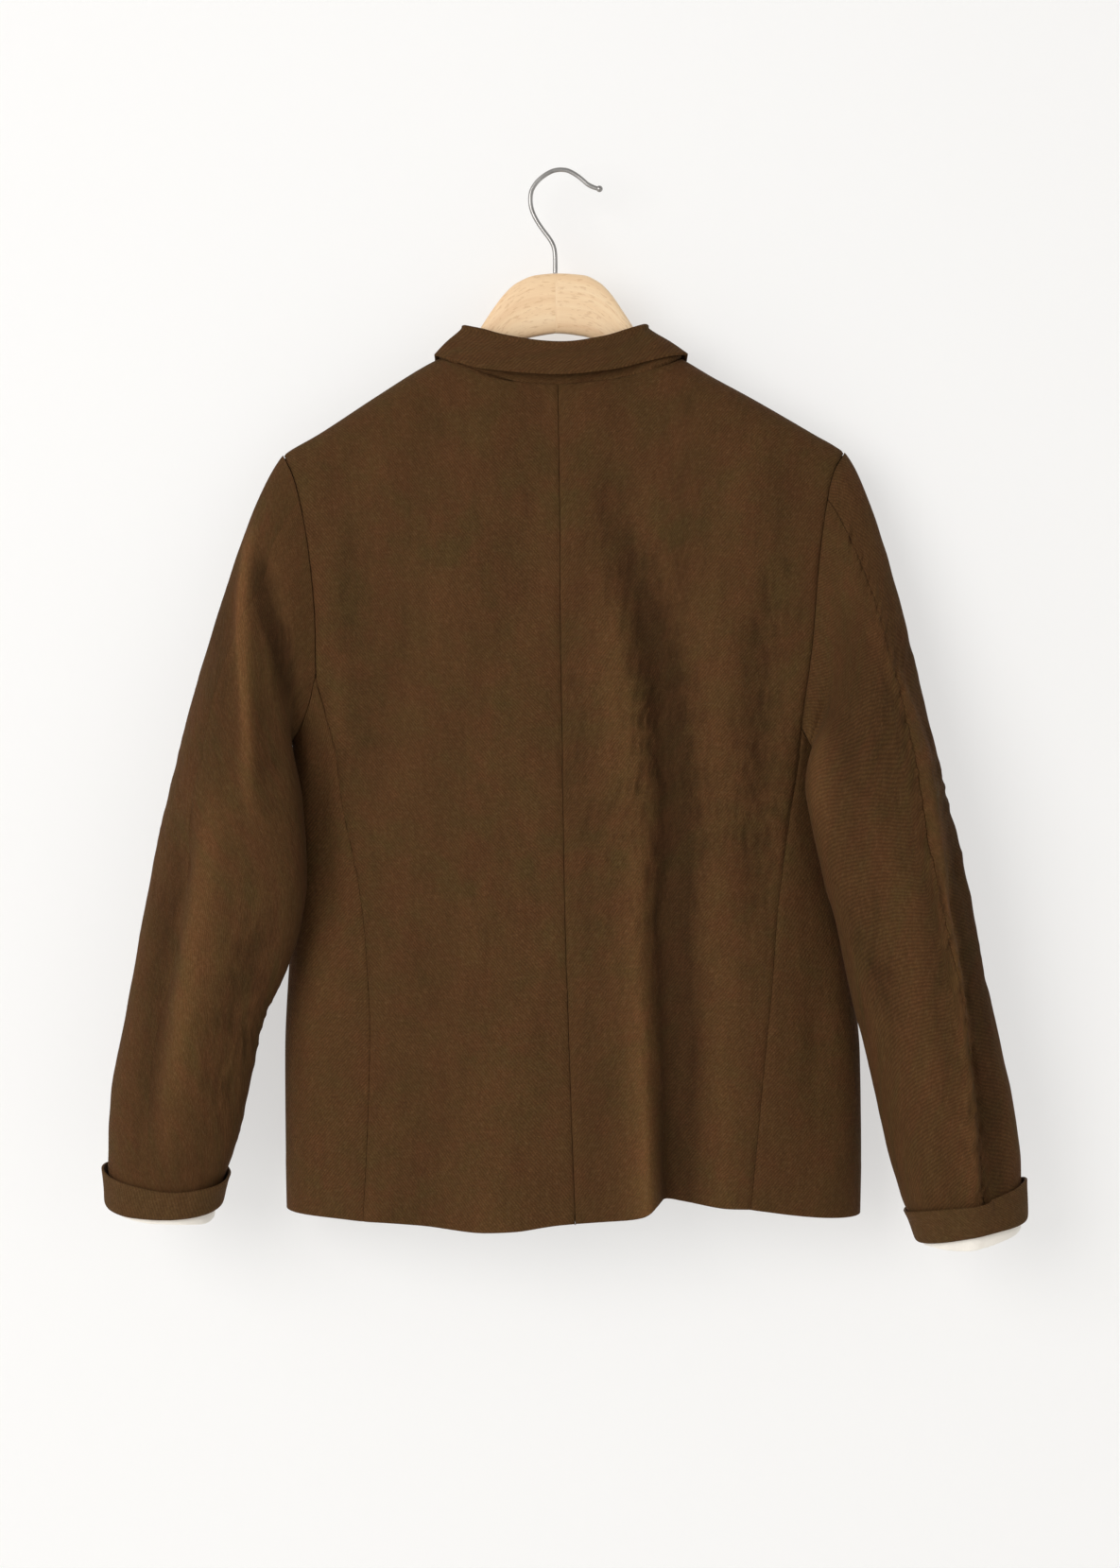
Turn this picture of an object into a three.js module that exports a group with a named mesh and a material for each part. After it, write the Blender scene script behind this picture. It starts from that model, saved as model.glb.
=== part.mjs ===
import * as THREE from "three";

// Military jacket hung on a wooden hanger with a wire hook.
// Millimetres, +Z up. The back of the jacket faces -Y and the wearer's left side is at -X.
// The origin is the underside of the top of the hook, where the hook bears on its peg.

const CLOTH = 2.0; // wall of the twill
const SEAM = 0.2; // half of the gap left at a seam
const ARMHOLE_GAP = 0.6; // sleeve head to body
const LOW_ROWS = 12; // rows of a panel from hem to underarm
const HIGH_ROWS = 10; // rows from underarm to shoulder
const SIDE_COLUMNS = 8; // columns of a side body
const RIDGE_RADIUS = 26; // rounding of the shoulder over the hanger
const SECTION_POWER = 2.6; // fullness of the body's section
const TURNUP_HEIGHT = 26; // visible height of a cuff
const LINING_WALL = 1.2;
const LINING_RISE = 45; // how far the modelled lining reaches up the sleeve
const BUTTON_RADIUS = 10;
const BUTTON_THICK = 3.5;
const WIRE_RADIUS = 1.8;
const UNDERLAP = 2.7; // left front lies this far under the right one
const FRONT_EDGE = 18; // overlap of a front past the centre
const COLLAR_WALL = 1.8;
const CAP_ROWS = 11; // rows of a sleeve from armhole to upper arm
const COLUMNS_ROUND = 26; // columns round a sleeve

function table(names, rows) {
  const keys = names.split(" ");
  return rows.map((row) => Object.fromEntries(keys.map((name, i) => [name, row[i]])));
}

// Body section at each height: side extremes in X, depth of back and front, Y of the side line.
const SECTION = table("z left right back front side", [
  [-100, -226, 229, 18, 17, 0],
  [-180, -226, 229, 23, 20, 0],
  [-260, -226, 229, 30, 25, 0],
  [-370, -225, 229, 39, 30, -1],
  [-415, -218, 225, 42, 32, -2],
  [-450, -203, 204, 45, 34, -3],
  [-530, -205, 208, 50, 37, -4],
  [-610, -212, 223, 53, 39, -5],
  [-690, -215.5, 232, 55, 41, -6],
  [-760, -215, 233, 57, 41, -6],
  [-815, -214, 232, 58, 40, -6],
]);

// Ridge of the shoulders and its run inside the neck.
const SHOULDER = table("x z", [
  [-226, -229], [-217, -221], [-190, -205], [-145, -175.6], [-106, -151.2], [-96, -146], [-60, -128],
  [0, -116], [58, -128], [93.4, -146], [117, -160], [145.8, -175.6], [196.8, -205], [220.4, -219],
  [229, -227],
]);
const TIP = { left: -217.4, right: 220.4 };
const NECK = { left: -96.3, right: 93.4 };

const BACK_NECKLINE = table("x z", [
  [-96.3, -146.2], [-76.7, -155.2], [-58.2, -161.9], [-40.6, -165.9], [-3.3, -168.4],
  [31.8, -165.3], [60.4, -159.7], [87.1, -150.3], [93.4, -146.2],
]);
const FRONT_NECKLINE = table("x z", [
  [-96.3, -146.2], [-88, -159], [-62, -183], [-30, -194], [0, -197], [30, -194], [60, -182], [85, -159],
  [93.4, -146.2],
]);

// Hem of the back, seen from behind, with the step where the pleat hangs free.
const BACK_HEM = table("x z", [
  [-206, -807.5], [-188, -809.8], [-152, -811.8], [-106, -814.3], [-59, -818.5], [-36, -817.8],
  [-2, -813.2], [33, -810.6], [56, -807.9], [67, -804.3], [73, -799.6], [80, -794.9],
  [91, -796.5], [126, -801.2],
  [149, -802.4], [184, -807.4],
]);
const FRONT_HEM_Z = -800;
const HEM_ENDS = {
  left: { back: -811.8, low: -807, front: -800 },
  right: { back: -802.3, low: -811.5, front: -800 },
};

// Seams of the back panels.
const CENTRE_BACK = table("z x", [
  [-168, -3.3], [-268, -1.8], [-366, -1.1], [-455, 0.3], [-561, 1.8], [-656, 4.6], [-740, 7.5],
  [-818, 10.4],
]);
const BACK_SEAM = {
  left: table("z x", [
    [-221.3, -217.4], [-238.7, -208.9], [-257.7, -203.6], [-302.8, -195.6], [-355.3, -190.9], [-394, -190],
    [-418, -184.2], [-452, -175.3], [-492, -169.9], [-560, -155.7], [-604, -150.5], [-670, -147.2],
    [-741, -148.8], [-812, -152.3],
  ]),
  right: table("z x", [
    [-219.1, 220.4], [-236.7, 210.7], [-257.7, 205.9], [-306.4, 199.2], [-367, 193.8], [-392.9, 190.4],
    [-422.1, 186.1], [-456.4, 183.4], [-507, 175], [-582, 165], [-624, 161.9], [-711, 153], [-803, 144.2],
  ]),
};
const FRONT_SEAM = {
  left: table("z x", [
    [-221.3, -217.4], [-238.7, -209], [-262, -199], [-302.8, -187], [-355, -180], [-405, -182],
    [-440, -178], [-520, -172], [-604, -166], [-700, -164], [-800, -165],
  ]),
  right: table("z x", [
    [-219.1, 220.4], [-236.7, 211], [-262, 201], [-306, 190], [-367, 183], [-420, 185],
    [-450, 182], [-520, 180], [-604, 178], [-700, 178], [-800, 176],
  ]),
};
// Height where each seam meets the armhole, and the lowest point under the arm.
const JUNCTION = {
  left: { back: -394, low: -446, front: -405 },
  right: { back: -436, low: -456, front: -420 },
};

// Creases of the cloth as seen from behind: depth in (positive) or out (negative), reach to either side.
const BACK_FOLDS = [
  table("z x depth west east", [
    [-250, 34, 0, 20, 20], [-300, 48, 3, 18, 22], [-345, 64, 6, 17, 26], [-430, 80, 10, 15, 28],
    [-506, 83, 11, 13, 28], [-603, 79, 11, 12, 28], [-700, 83, 13, 11, 28], [-800, 82, 17, 9, 30],
    [-830, 82, 17, 9, 30],
  ]),
  table("z x depth west east", [
    [-330, 36, 0, 20, 14], [-430, 50, -3, 22, 13], [-603, 54, -4, 24, 11], [-700, 60, -5, 24, 10],
    [-800, 66, -8, 26, 9], [-830, 66, -8, 26, 9],
  ]),
  table("z x depth west east", [
    [-250, -163, 0, 12, 14], [-290, -165, 4, 12, 16], [-350, -166, 4.5, 12, 18], [-430, -159, 3, 12, 18],
    [-490, -162, 0, 12, 16],
  ]),
  table("z x depth west east", [
    [-320, 166, 0, 10, 12], [-370, 150, 4, 14, 12], [-449, 154, 4, 16, 12], [-520, 150, 3.5, 16, 12],
    [-590, 145, 0, 16, 12],
  ]),
  table("z x depth west east", [
    [-640, -60, 0, 34, 34], [-760, -58, -5, 36, 36], [-830, -56, -7, 38, 38],
  ]),
  table("z x depth west east", [
    [-600, 128, 0, 22, 22], [-720, 124, -3, 24, 22], [-830, 120, -5, 26, 22],
  ]),
  table("z x depth west east", [
    [-440, -180, 0, 14, 18], [-480, -186, 5, 14, 18], [-560, -180, 5, 14, 16], [-640, -178, 0, 14, 16],
  ]),
  table("z x depth west east", [
    [-560, 196, 0, 14, 14], [-655, 200, 4, 16, 16], [-760, 192, 2, 16, 16], [-815, 190, 1, 16, 16],
  ]),
];
const FRONT_FOLDS = [
  table("z x depth west east", [
    [-300, 70, 0, 20, 20], [-420, 84, 6, 20, 22], [-600, 92, 8, 20, 22], [-820, 96, 9, 20, 24],
  ]),
  table("z x depth west east", [
    [-330, -80, 0, 20, 20], [-500, -92, 6, 20, 20], [-680, -98, 8, 20, 22], [-820, -100, 9, 22, 22],
  ]),
];

// Hanging sleeves below the cap: outer and inner edge in X, mid depth, half depth, turn of the inner edge.
const SLEEVE = {
  left: table("z outer inner mid deep turn", [
    [-480, -302, -198.5, -40, 38, -9], [-515, -310, -195.5, -42, 38, -10],
    [-551, -317, -194, -43, 37, -11], [-583, -323.5, -199, -44, 37, -10],
    [-616, -329, -209, -45, 36, -8], [-659, -336.5, -227, -46, 36, -6],
    [-688, -342, -234.3, -46, 35, -5],
    [-717, -346.5, -240.8, -46, 35, -4], [-746, -348, -247.3, -46, 34, -3],
    [-768, -348.5, -254, -46, 34, -2],
    [-780, -347.5, -258.5, -46, 34, -2], [-803, -347, -263.5, -46, 33, -2],
  ]),
  right: table("z outer inner mid deep turn", [
    [-480, 293, 187, -46, 37, -11], [-515, 301, 192.5, -48, 37, -11], [-551, 311, 200, -49, 36, -11],
    [-583, 317.5, 209.5, -49, 36, -10], [-616, 324, 215.5, -48, 36, -9], [-659, 333.6, 225, -47, 36, -7],
    [-688, 338.8, 233, -46, 35, -5], [-717, 345, 240.5, -46, 35, -4], [-746, 349, 248, -46, 34, -3],
    [-776, 352, 257.5, -46, 34, -2], [-790, 352, 262.5, -46, 34, -2], [-806, 353, 270.3, -46, 34, -2],
    [-830, 354, 279, -46, 33, -2],
  ]),
};
const WRIST = {
  left: { z: -800, slope: 0, sag: 0.25, hang: { base: 2, near: 6, inner: 5 } },
  right: { z: -820.5, slope: 0.2, sag: 0.02, hang: { base: 3, near: 12, inner: 2 } },
};
const CAP_END = -490; // level where a sleeve has left its cap
const RING_LEVELS = [-505, -523, -545, -575, -605, -635, -665, -695, -725, -750, -775];

// Creases of the sleeves as seen from behind.
const SLEEVE_FOLDS = {
  left: [
    table("z x depth west east", [
      [-285, -240, 0, 6, 12], [-315, -240, 5, 6, 14], [-372, -236, 6, 9, 18], [-442, -227, 5, 9, 18],
      [-505, -222, 0, 8, 16],
    ]),
    table("z x depth west east", [
      [-300, -232, 0, 10, 14], [-348, -221, 5, 10, 12], [-384, -211, 5, 9, 12], [-425, -205, 0, 8, 10],
    ]),
    table("z x depth west east", [
      [-460, -258, 0, 14, 18], [-530, -268, -3, 14, 20], [-666, -288, -4, 14, 22], [-770, -296, 0, 14, 20],
    ]),
    table("z x depth west east", [
      [-560, -215, 0, 10, 10], [-615, -235, 4, 12, 12], [-655, -250, 3, 12, 12], [-690, -262, 0, 10, 10],
    ]),
    table("z x depth west east", [
      [-480, -285, 0, 14, 12], [-600, -308, 4, 14, 14], [-740, -326, 0, 14, 12],
    ]),
  ],
  right: [
    table("z x depth west east", [
      [-300, 250, 0, 10, 12], [-361, 262, 3, 10, 14], [-472, 296, 5, 9, 16], [-603, 313, 5, 9, 16],
      [-700, 323, 4, 9, 16], [-780, 330, 0, 9, 14],
    ]),
    table("z x depth west east", [
      [-330, 222, 0, 12, 12], [-380, 222, 4, 12, 14], [-440, 214, 3, 12, 14], [-500, 214, 0, 12, 12],
    ]),
    table("z x depth west east", [
      [-470, 250, 0, 22, 18], [-560, 262, -3, 22, 18], [-700, 282, -3, 22, 18], [-790, 296, 0, 20, 16],
    ]),
    table("z x depth west east", [
      [-580, 226, 0, 10, 10], [-625, 240, 4, 10, 12], [-665, 254, 0, 10, 12],
    ]),
  ],
};
// Turn round the sleeve of its back seam and its front seam, from armhole to wrist.
const SLEEVE_SEAM = table("v hind fore", [[0, 0.09, 0.62], [1, 0.115, 0.62], [2, 0.215, 0.62]]);

// Collar stations round the neck, from the left front over the back: foot in X, fold line, free edge.
const COLLAR = table("s foot foldX foldY foldZ edgeX edgeY edgeZ", [
  [0, -4, -5, 22.5, -164, -7, 31, -203],
  [1, -32, -30, 21, -160, -36, 29.5, -196],
  [2, -64, -54, 16.5, -147, -74, 26.5, -180],
  [3, -88, -71, 8.5, -129, -98.5, 21.5, -159],
  [4, -96.3, -76, -1.5, -119.2, -99.6, -3, -142.8],
  [5, -76.7, -62.9, -9.5, -123, -84.4, -17, -148.5],
  [6, -58.2, -48.1, -14.5, -128, -62.5, -25.5, -155.6],
  [7, -3.3, -3, -20, -135, -3, -32.5, -161],
  [8, 31.8, 30, -17.5, -130.5, 34, -30.5, -157.6],
  [9, 60.4, 50, -12.5, -123.8, 67.7, -21.5, -149],
  [10, 81, 60.5, -8.5, -120.5, 85, -13, -143.4],
  [11, 93.4, 66.5, -1.5, -118.2, 97.4, -3, -143],
  [12, 85, 66, 8.5, -129, 95.5, 21.5, -159],
  [13, 60, 52, 16.5, -147, 72, 26.5, -180],
  [14, 30, 30, 21, -160, 36, 29.5, -196],
  [15, 4, 5, 22.5, -164, 7, 31, -203],
]);
const NECK_STATIONS = { left: 4, right: 11 };

// Hanger: upper and lower edge and half thickness along its length.
const HANGER = table("x top bottom half", [
  [-203, -217.5, -222, 1.2], [-199, -213.4, -226, 4.2], [-192, -209.2, -227, 5.4],
  [-166.5, -193.2, -217, 6],
  [-133, -171.8, -197, 6], [-118, -162.8, -187, 6], [-106, -158, -179, 6], [-96.3, -158, -173, 6],
  [-86, -156, -166, 6], [-78, -148, -161, 6], [-72, -138, -156, 6], [-67, -127.5, -150, 6],
  [-61.7, -118.9, -145, 6], [-54.3, -107.6, -141, 6],
  [-45.4, -95.8, -136.5, 6], [-35.8, -87, -132.5, 6], [-19.6, -80.5, -128.4, 6], [-3.3, -79.2, -126.2, 6],
  [16.6, -80.5, -128.4, 6], [29.5, -86.4, -132.5, 6], [38.8, -95.8, -137, 6], [46.9, -107.6, -142, 6],
  [54.3, -118.9, -146, 6], [60, -128, -151, 6], [66, -139, -156, 6], [73, -148.5, -161, 6],
  [82, -156, -167, 6], [93.4, -158.5, -173, 6], [104, -159, -179, 6], [117, -163.4, -187, 6],
  [145.8, -178.9, -204, 6], [171.6, -193.5, -219, 6],
  [193, -205.8, -228, 5.4], [200, -210.6, -226.5, 4.2], [204, -214.2, -221, 1.2],
]);

// Centre line of the hook's wire.
const HOOK = table("x z", [
  [-5.2, -78.9], [-5.2, -68], [-5.9, -60.5], [-7.6, -55.6], [-10.2, -51.3], [-14, -46.3], [-18, -40.6],
  [-21.4, -34.6], [-23.7, -28.6], [-24.6, -22.4], [-24, -15.8], [-21.6, -10.6], [-17.8, -6], [-13, -2.2],
  [-7.6, 0.7], [-3, 1.75], [0, 1.8], [4, 1.3], [8, -0.4], [12.6, -3.3], [16.8, -6.7], [20.3, -9.7],
  [24.7, -11.9], [27.5, -12.7],
]);
const BALL = { x: 29.3, z: -13.1, radius: 2.6 };
const BUTTON_LEVELS = [-236, -338, -440, -542, -644];

// A smooth, non-overshooting curve through one column of a table, read along another.
function column(rows, key, name) {
  const list = [...rows].sort((a, b) => a[key] - b[key]);
  const xs = list.map((row) => row[key]);
  const ys = list.map((row) => row[name]);
  const last = xs.length - 1;
  const step = (i) => xs[i + 1] - xs[i];
  const rise = (i) => (ys[i + 1] - ys[i]) / step(i);
  const slopes = xs.map((_, i) => {
    if (i === 0) return rise(0);
    if (i === last) return rise(last - 1);
    const before = rise(i - 1);
    const after = rise(i);
    if (before * after <= 0) return 0;
    const heavy = 2 * step(i) + step(i - 1);
    const light = step(i) + 2 * step(i - 1);
    return (heavy + light) / (heavy / before + light / after);
  });
  return (x) => {
    if (x <= xs[0]) return ys[0];
    if (x >= xs[last]) return ys[last];
    let i = 0;
    while (x > xs[i + 1]) i += 1;
    const h = step(i);
    const t = (x - xs[i]) / h;
    const u = 1 - t;
    return (1 + 2 * t) * u * u * ys[i] + t * u * u * h * slopes[i]
      + t * t * (3 - 2 * t) * ys[i + 1] - t * t * u * h * slopes[i + 1];
  };
}

function columns(rows, key) {
  const names = Object.keys(rows[0]).filter((name) => name !== key);
  const read = Object.fromEntries(names.map((name) => [name, column(rows, key, name)]));
  return (x) => Object.fromEntries(names.map((name) => [name, read[name](x)]));
}

const section = columns(SECTION, "z");
const shoulderZ = column(SHOULDER, "x", "z");
const backNeckZ = column(BACK_NECKLINE, "x", "z");
const frontNeckZ = column(FRONT_NECKLINE, "x", "z");
const backHemZ = column(BACK_HEM, "x", "z");
const centreX = column(CENTRE_BACK, "z", "x");
const backSeamX = { left: column(BACK_SEAM.left, "z", "x"), right: column(BACK_SEAM.right, "z", "x") };
const frontSeamX = { left: column(FRONT_SEAM.left, "z", "x"), right: column(FRONT_SEAM.right, "z", "x") };
const sleeveAt = { left: columns(SLEEVE.left, "z"), right: columns(SLEEVE.right, "z") };
const sleeveSeam = columns(SLEEVE_SEAM, "v");
const collarAt = columns(COLLAR, "s");

function creases(folds) {
  const list = folds.map((rows) => ({
    at: columns(rows, "z"),
    low: Math.min(...rows.map((row) => row.z)),
    high: Math.max(...rows.map((row) => row.z)),
  }));
  return (x, z) => list.reduce((sum, fold) => {
    if (z <= fold.low || z >= fold.high) return sum;
    const row = fold.at(z);
    const off = (x - row.x) / (x < row.x ? row.west : row.east);
    return sum + row.depth * Math.exp(-off * off);
  }, 0);
}
const backCrease = creases(BACK_FOLDS);
const frontCrease = creases(FRONT_FOLDS);
const sleeveCrease = { left: creases(SLEEVE_FOLDS.left), right: creases(SLEEVE_FOLDS.right) };

const mix = (a, b, t) => a + (b - a) * t;
const add = (p, d, s = 1) => [p[0] + d[0] * s, p[1] + d[1] * s, p[2] + d[2] * s];
const minus = (p, q) => [p[0] - q[0], p[1] - q[1], p[2] - q[2]];
const dot = (a, b) => a[0] * b[0] + a[1] * b[1] + a[2] * b[2];
const cross = (a, b) => [a[1] * b[2] - a[2] * b[1], a[2] * b[0] - a[0] * b[2], a[0] * b[1] - a[1] * b[0]];
function unit(v) {
  const size = Math.hypot(...v) || 1;
  return [v[0] / size, v[1] / size, v[2] / size];
}
const steps = (count) => Array.from({ length: count + 1 }, (_, i) => i / count);
function smooth(x, from, to) {
  const t = Math.min(1, Math.max(0, (x - from) / (to - from)));
  return t * t * (3 - 2 * t);
}

// How full the body's section is at a point, 0 at the sides and on the shoulder ridge.
function fullness(x, z) {
  const row = section(z);
  const half = (row.right - row.left) / 2;
  const off = Math.min(1, Math.abs(x - (row.left + row.right) / 2) / half);
  const across = (1 - off ** SECTION_POWER) ** (1 / SECTION_POWER);
  const under = Math.min(1, Math.max(0, (shoulderZ(x) - z) / RIDGE_RADIUS));
  return across * Math.sqrt(1 - (1 - under) ** 2);
}
function backY(x, z) {
  const row = section(z);
  const full = fullness(x, z);
  return row.side - SEAM - row.back * full + backCrease(x, z) * Math.min(1, full * 1.6);
}
function frontY(x, z) {
  const row = section(z);
  const full = fullness(x, z);
  return row.side + SEAM + row.front * full - frontCrease(x, z) * Math.min(1, full * 1.6);
}

// A side body between its two seams, running round the outside of the section at height z.
function sidePoint(side, u, z) {
  const row = section(z);
  const hand = side === "left" ? -1 : 1;
  const mid = (row.left + row.right) / 2;
  const half = (row.right - row.left) / 2;
  const from = (backSeamX[side](z) + hand * SEAM * 1.6 - mid) / (hand * half);
  const to = (frontSeamX[side](z) + hand * SEAM * 1.6 - mid) / (hand * half);
  const power = SECTION_POWER / 2;
  const start = -Math.acos(Math.min(1, from) ** power);
  const end = Math.acos(Math.min(1, to) ** power);
  const count = 24;
  const spot = (k) => {
    const turn = mix(start, end, k / count);
    const out = Math.cos(turn) ** (1 / power);
    const full = Math.abs(Math.sin(turn)) ** (1 / power);
    const x = mid + hand * half * out;
    if (turn < 0) return [x, row.side - row.back * full + backCrease(x, z) * Math.min(1, full * 1.6), z];
    return [x, row.side + row.front * full - frontCrease(x, z) * Math.min(1, full * 1.6), z];
  };
  const spots = Array.from({ length: count + 1 }, (_, k) => spot(k));
  const lengths = [0];
  for (let k = 0; k < count; k += 1) {
    lengths.push(lengths[k] + Math.hypot(spots[k + 1][0] - spots[k][0], spots[k + 1][1] - spots[k][1]));
  }
  const want = u * lengths[count];
  let k = 0;
  while (k < count - 1 && lengths[k + 1] < want) k += 1;
  const t = (want - lengths[k]) / (lengths[k + 1] - lengths[k]);
  return [mix(spots[k][0], spots[k + 1][0], t), mix(spots[k][1], spots[k + 1][1], t), z];
}
// Height of a side body's row: straight between its seams, low under the arm and at the side of the hem.
function sideLevel(side, u, v) {
  const ends = HEM_ENDS[side];
  const level = JUNCTION[side];
  const back = mix(ends.back, level.back, v);
  const front = mix(ends.front, level.front, v);
  const bow = Math.sin(Math.PI * u);
  const dip = (level.back + level.front) / 2 - level.low;
  const sag = (ends.back + ends.front) / 2 - ends.low;
  return mix(back, front, u) - dip * bow ** 0.8 * v ** 4 - sag * bow * (1 - v) ** 4;
}

// Four edges blended into a patch over X and Z, then laid on the body.
function blend(bottom, top, inner, outer, u, v) {
  const one = (i) => (1 - v) * bottom(u)[i] + v * top(u)[i] + (1 - u) * inner(v)[i] + u * outer(v)[i]
    - (1 - u) * (1 - v) * bottom(0)[i] - u * (1 - v) * bottom(1)[i]
    - (1 - u) * v * top(0)[i] - u * v * top(1)[i];
  return [one(0), one(1)];
}
function backPanel(side, u, v) {
  const hand = side === "left" ? -1 : 1;
  const neck = NECK[side];
  const tip = TIP[side];
  const centre = (z) => centreX(z) + hand * SEAM;
  const topZ = (x) => (Math.abs(x) < Math.abs(neck) ? backNeckZ(x) : shoulderZ(x));
  const hemStart = [centre(-813.2), -813.2];
  const hemEnd = [backSeamX[side](HEM_ENDS[side].back), HEM_ENDS[side].back];
  const neckStart = [centre(-168.4), -168.4];
  const tipEnd = [tip, shoulderZ(tip)];
  const bottom = (s) => {
    const x = mix(hemStart[0], hemEnd[0], s);
    return [x, s === 0 ? hemStart[1] : s === 1 ? hemEnd[1] : backHemZ(x)];
  };
  const top = (s) => {
    const x = mix(neckStart[0], tipEnd[0], s);
    return [x, s === 0 ? neckStart[1] : topZ(x)];
  };
  const inner = (s) => {
    const z = mix(hemStart[1], neckStart[1], s);
    return [centre(z), z];
  };
  const outer = (s) => {
    const z = mix(hemEnd[1], tipEnd[1], s);
    return [backSeamX[side](z), z];
  };
  const [x, z] = blend(bottom, top, inner, outer, u, v);
  return [x, backY(x, z), z];
}
function frontPanel(side, u, v) {
  const hand = side === "left" ? -1 : 1;
  const neck = NECK[side];
  const tip = TIP[side];
  const edge = -hand * FRONT_EDGE;
  const topZ = (x) => (hand * x < Math.abs(neck) ? frontNeckZ(x) : shoulderZ(x));
  const hemEndX = frontSeamX[side](FRONT_HEM_Z);
  const tipZ = shoulderZ(tip);
  const bottom = (s) => [mix(edge, hemEndX, s), FRONT_HEM_Z];
  const top = (s) => {
    const x = mix(edge, tip, s);
    return [x, topZ(x)];
  };
  const inner = (s) => [edge, mix(FRONT_HEM_Z, topZ(edge), s)];
  const outer = (s) => {
    const z = mix(FRONT_HEM_Z, tipZ, s);
    return [frontSeamX[side](z), z];
  };
  const [x, z] = blend(bottom, top, inner, outer, u, v);
  const under = side === "left" ? UNDERLAP * smooth(x, -46, -22) : 0;
  return [x, frontY(x, z) - under, z];
}

// Normals of a grid of points, by differences along its rows and columns.
function gridNormals(points, wrap, hand) {
  const rows = points.length;
  const cols = points[0].length;
  return points.map((row, i) => row.map((_, j) => {
    const up = minus(points[Math.min(rows - 1, i + 1)][j], points[Math.max(0, i - 1)][j]);
    const next = wrap ? row[(j + 1) % cols] : row[Math.min(cols - 1, j + 1)];
    const before = wrap ? row[(j + cols - 1) % cols] : row[Math.max(0, j - 1)];
    return unit(cross(minus(next, before), up).map((c) => c * hand));
  }));
}

// A closed wall between a grid of outer points and the same grid moved in along its normals.
function wall(points, normals, thickness, wrap = false) {
  const rows = points.length;
  const cols = points[0].length;
  const inside = points.map((row, i) => row.map((p, j) => add(p, normals[i][j], -thickness)));
  const across = minus(points[0][1], points[0][0]);
  const along = minus(points[1][0], points[0][0]);
  const turned = cross(across, along);
  const outwards = dot(turned, normals[0][0]);
  const faces = [];
  const quad = (a, b, c, d) => faces.push(a, b, c, a, c, d);
  const outer = (i, j) => i * cols + (j % cols);
  const inner = (i, j) => rows * cols + outer(i, j);
  const reach = wrap ? cols : cols - 1;
  for (let i = 0; i < rows - 1; i += 1) {
    for (let j = 0; j < reach; j += 1) {
      quad(outer(i, j), outer(i, j + 1), outer(i + 1, j + 1), outer(i + 1, j));
      quad(inner(i, j), inner(i + 1, j), inner(i + 1, j + 1), inner(i, j + 1));
    }
  }
  for (let j = 0; j < reach; j += 1) {
    quad(outer(0, j), inner(0, j), inner(0, j + 1), outer(0, j + 1));
    quad(outer(rows - 1, j), outer(rows - 1, j + 1), inner(rows - 1, j + 1), inner(rows - 1, j));
  }
  if (!wrap) {
    for (let i = 0; i < rows - 1; i += 1) {
      quad(outer(i, 0), outer(i + 1, 0), inner(i + 1, 0), inner(i, 0));
      quad(outer(i, cols - 1), inner(i, cols - 1), inner(i + 1, cols - 1), outer(i + 1, cols - 1));
    }
  }
  if (outwards < 0) {
    for (let k = 0; k < faces.length; k += 3) {
      [faces[k + 1], faces[k + 2]] = [faces[k + 2], faces[k + 1]];
    }
  }
  return { points: [...points.flat(), ...inside.flat()], faces };
}

// A solid tube of rings, closed with a fan at both ends.
function tube(rings) {
  const cols = rings[0].length;
  const points = rings.flat();
  const faces = [];
  for (let i = 0; i < rings.length - 1; i += 1) {
    for (let j = 0; j < cols; j += 1) {
      const a = i * cols + j;
      const b = i * cols + ((j + 1) % cols);
      faces.push(a, b, b + cols, a, b + cols, a + cols);
    }
  }
  const middle = (ring) => ring.reduce((sum, p) => add(sum, p, 1 / ring.length), [0, 0, 0]);
  const first = points.length;
  points.push(middle(rings[0]), middle(rings[rings.length - 1]));
  const end = (rings.length - 1) * cols;
  for (let j = 0; j < cols; j += 1) {
    faces.push(first, (j + 1) % cols, j, first + 1, end + j, end + ((j + 1) % cols));
  }
  return { points, faces };
}

function nodeOf(name, { points, faces }, colour) {
  const geometry = new THREE.BufferGeometry();
  geometry.setAttribute("position", new THREE.Float32BufferAttribute(points.flat(), 3));
  const [a, b, c] = [0, 0, 0].map(() => new THREE.Vector3());
  let volume = 0;
  for (let k = 0; k < faces.length; k += 3) {
    a.fromArray(points[faces[k]]);
    b.fromArray(points[faces[k + 1]]);
    c.fromArray(points[faces[k + 2]]);
    volume += a.dot(b.cross(c));
  }
  const turned = [...faces];
  if (volume < 0) {
    for (let k = 0; k < turned.length; k += 3) {
      [turned[k + 1], turned[k + 2]] = [turned[k + 2], turned[k + 1]];
    }
  }
  geometry.setIndex(turned);
  geometry.computeVertexNormals();
  const mesh = new THREE.Mesh(geometry, new THREE.MeshStandardMaterial({ color: colour, roughness: 0.9 }));
  mesh.name = name;
  return mesh;
}

// Normals at the shoulder seam stand square to the ridge so the two walls meet edge to edge.
function squareShoulder(points, normals, neck) {
  const last = points.length - 1;
  points[last].forEach((p, j) => {
    if (Math.abs(p[0]) < Math.abs(neck) - 0.5) return;
    const slope = (shoulderZ(p[0] + 1) - shoulderZ(p[0] - 1)) / 2;
    normals[last][j] = unit([-slope, 0, 1]);
  });
}

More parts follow.
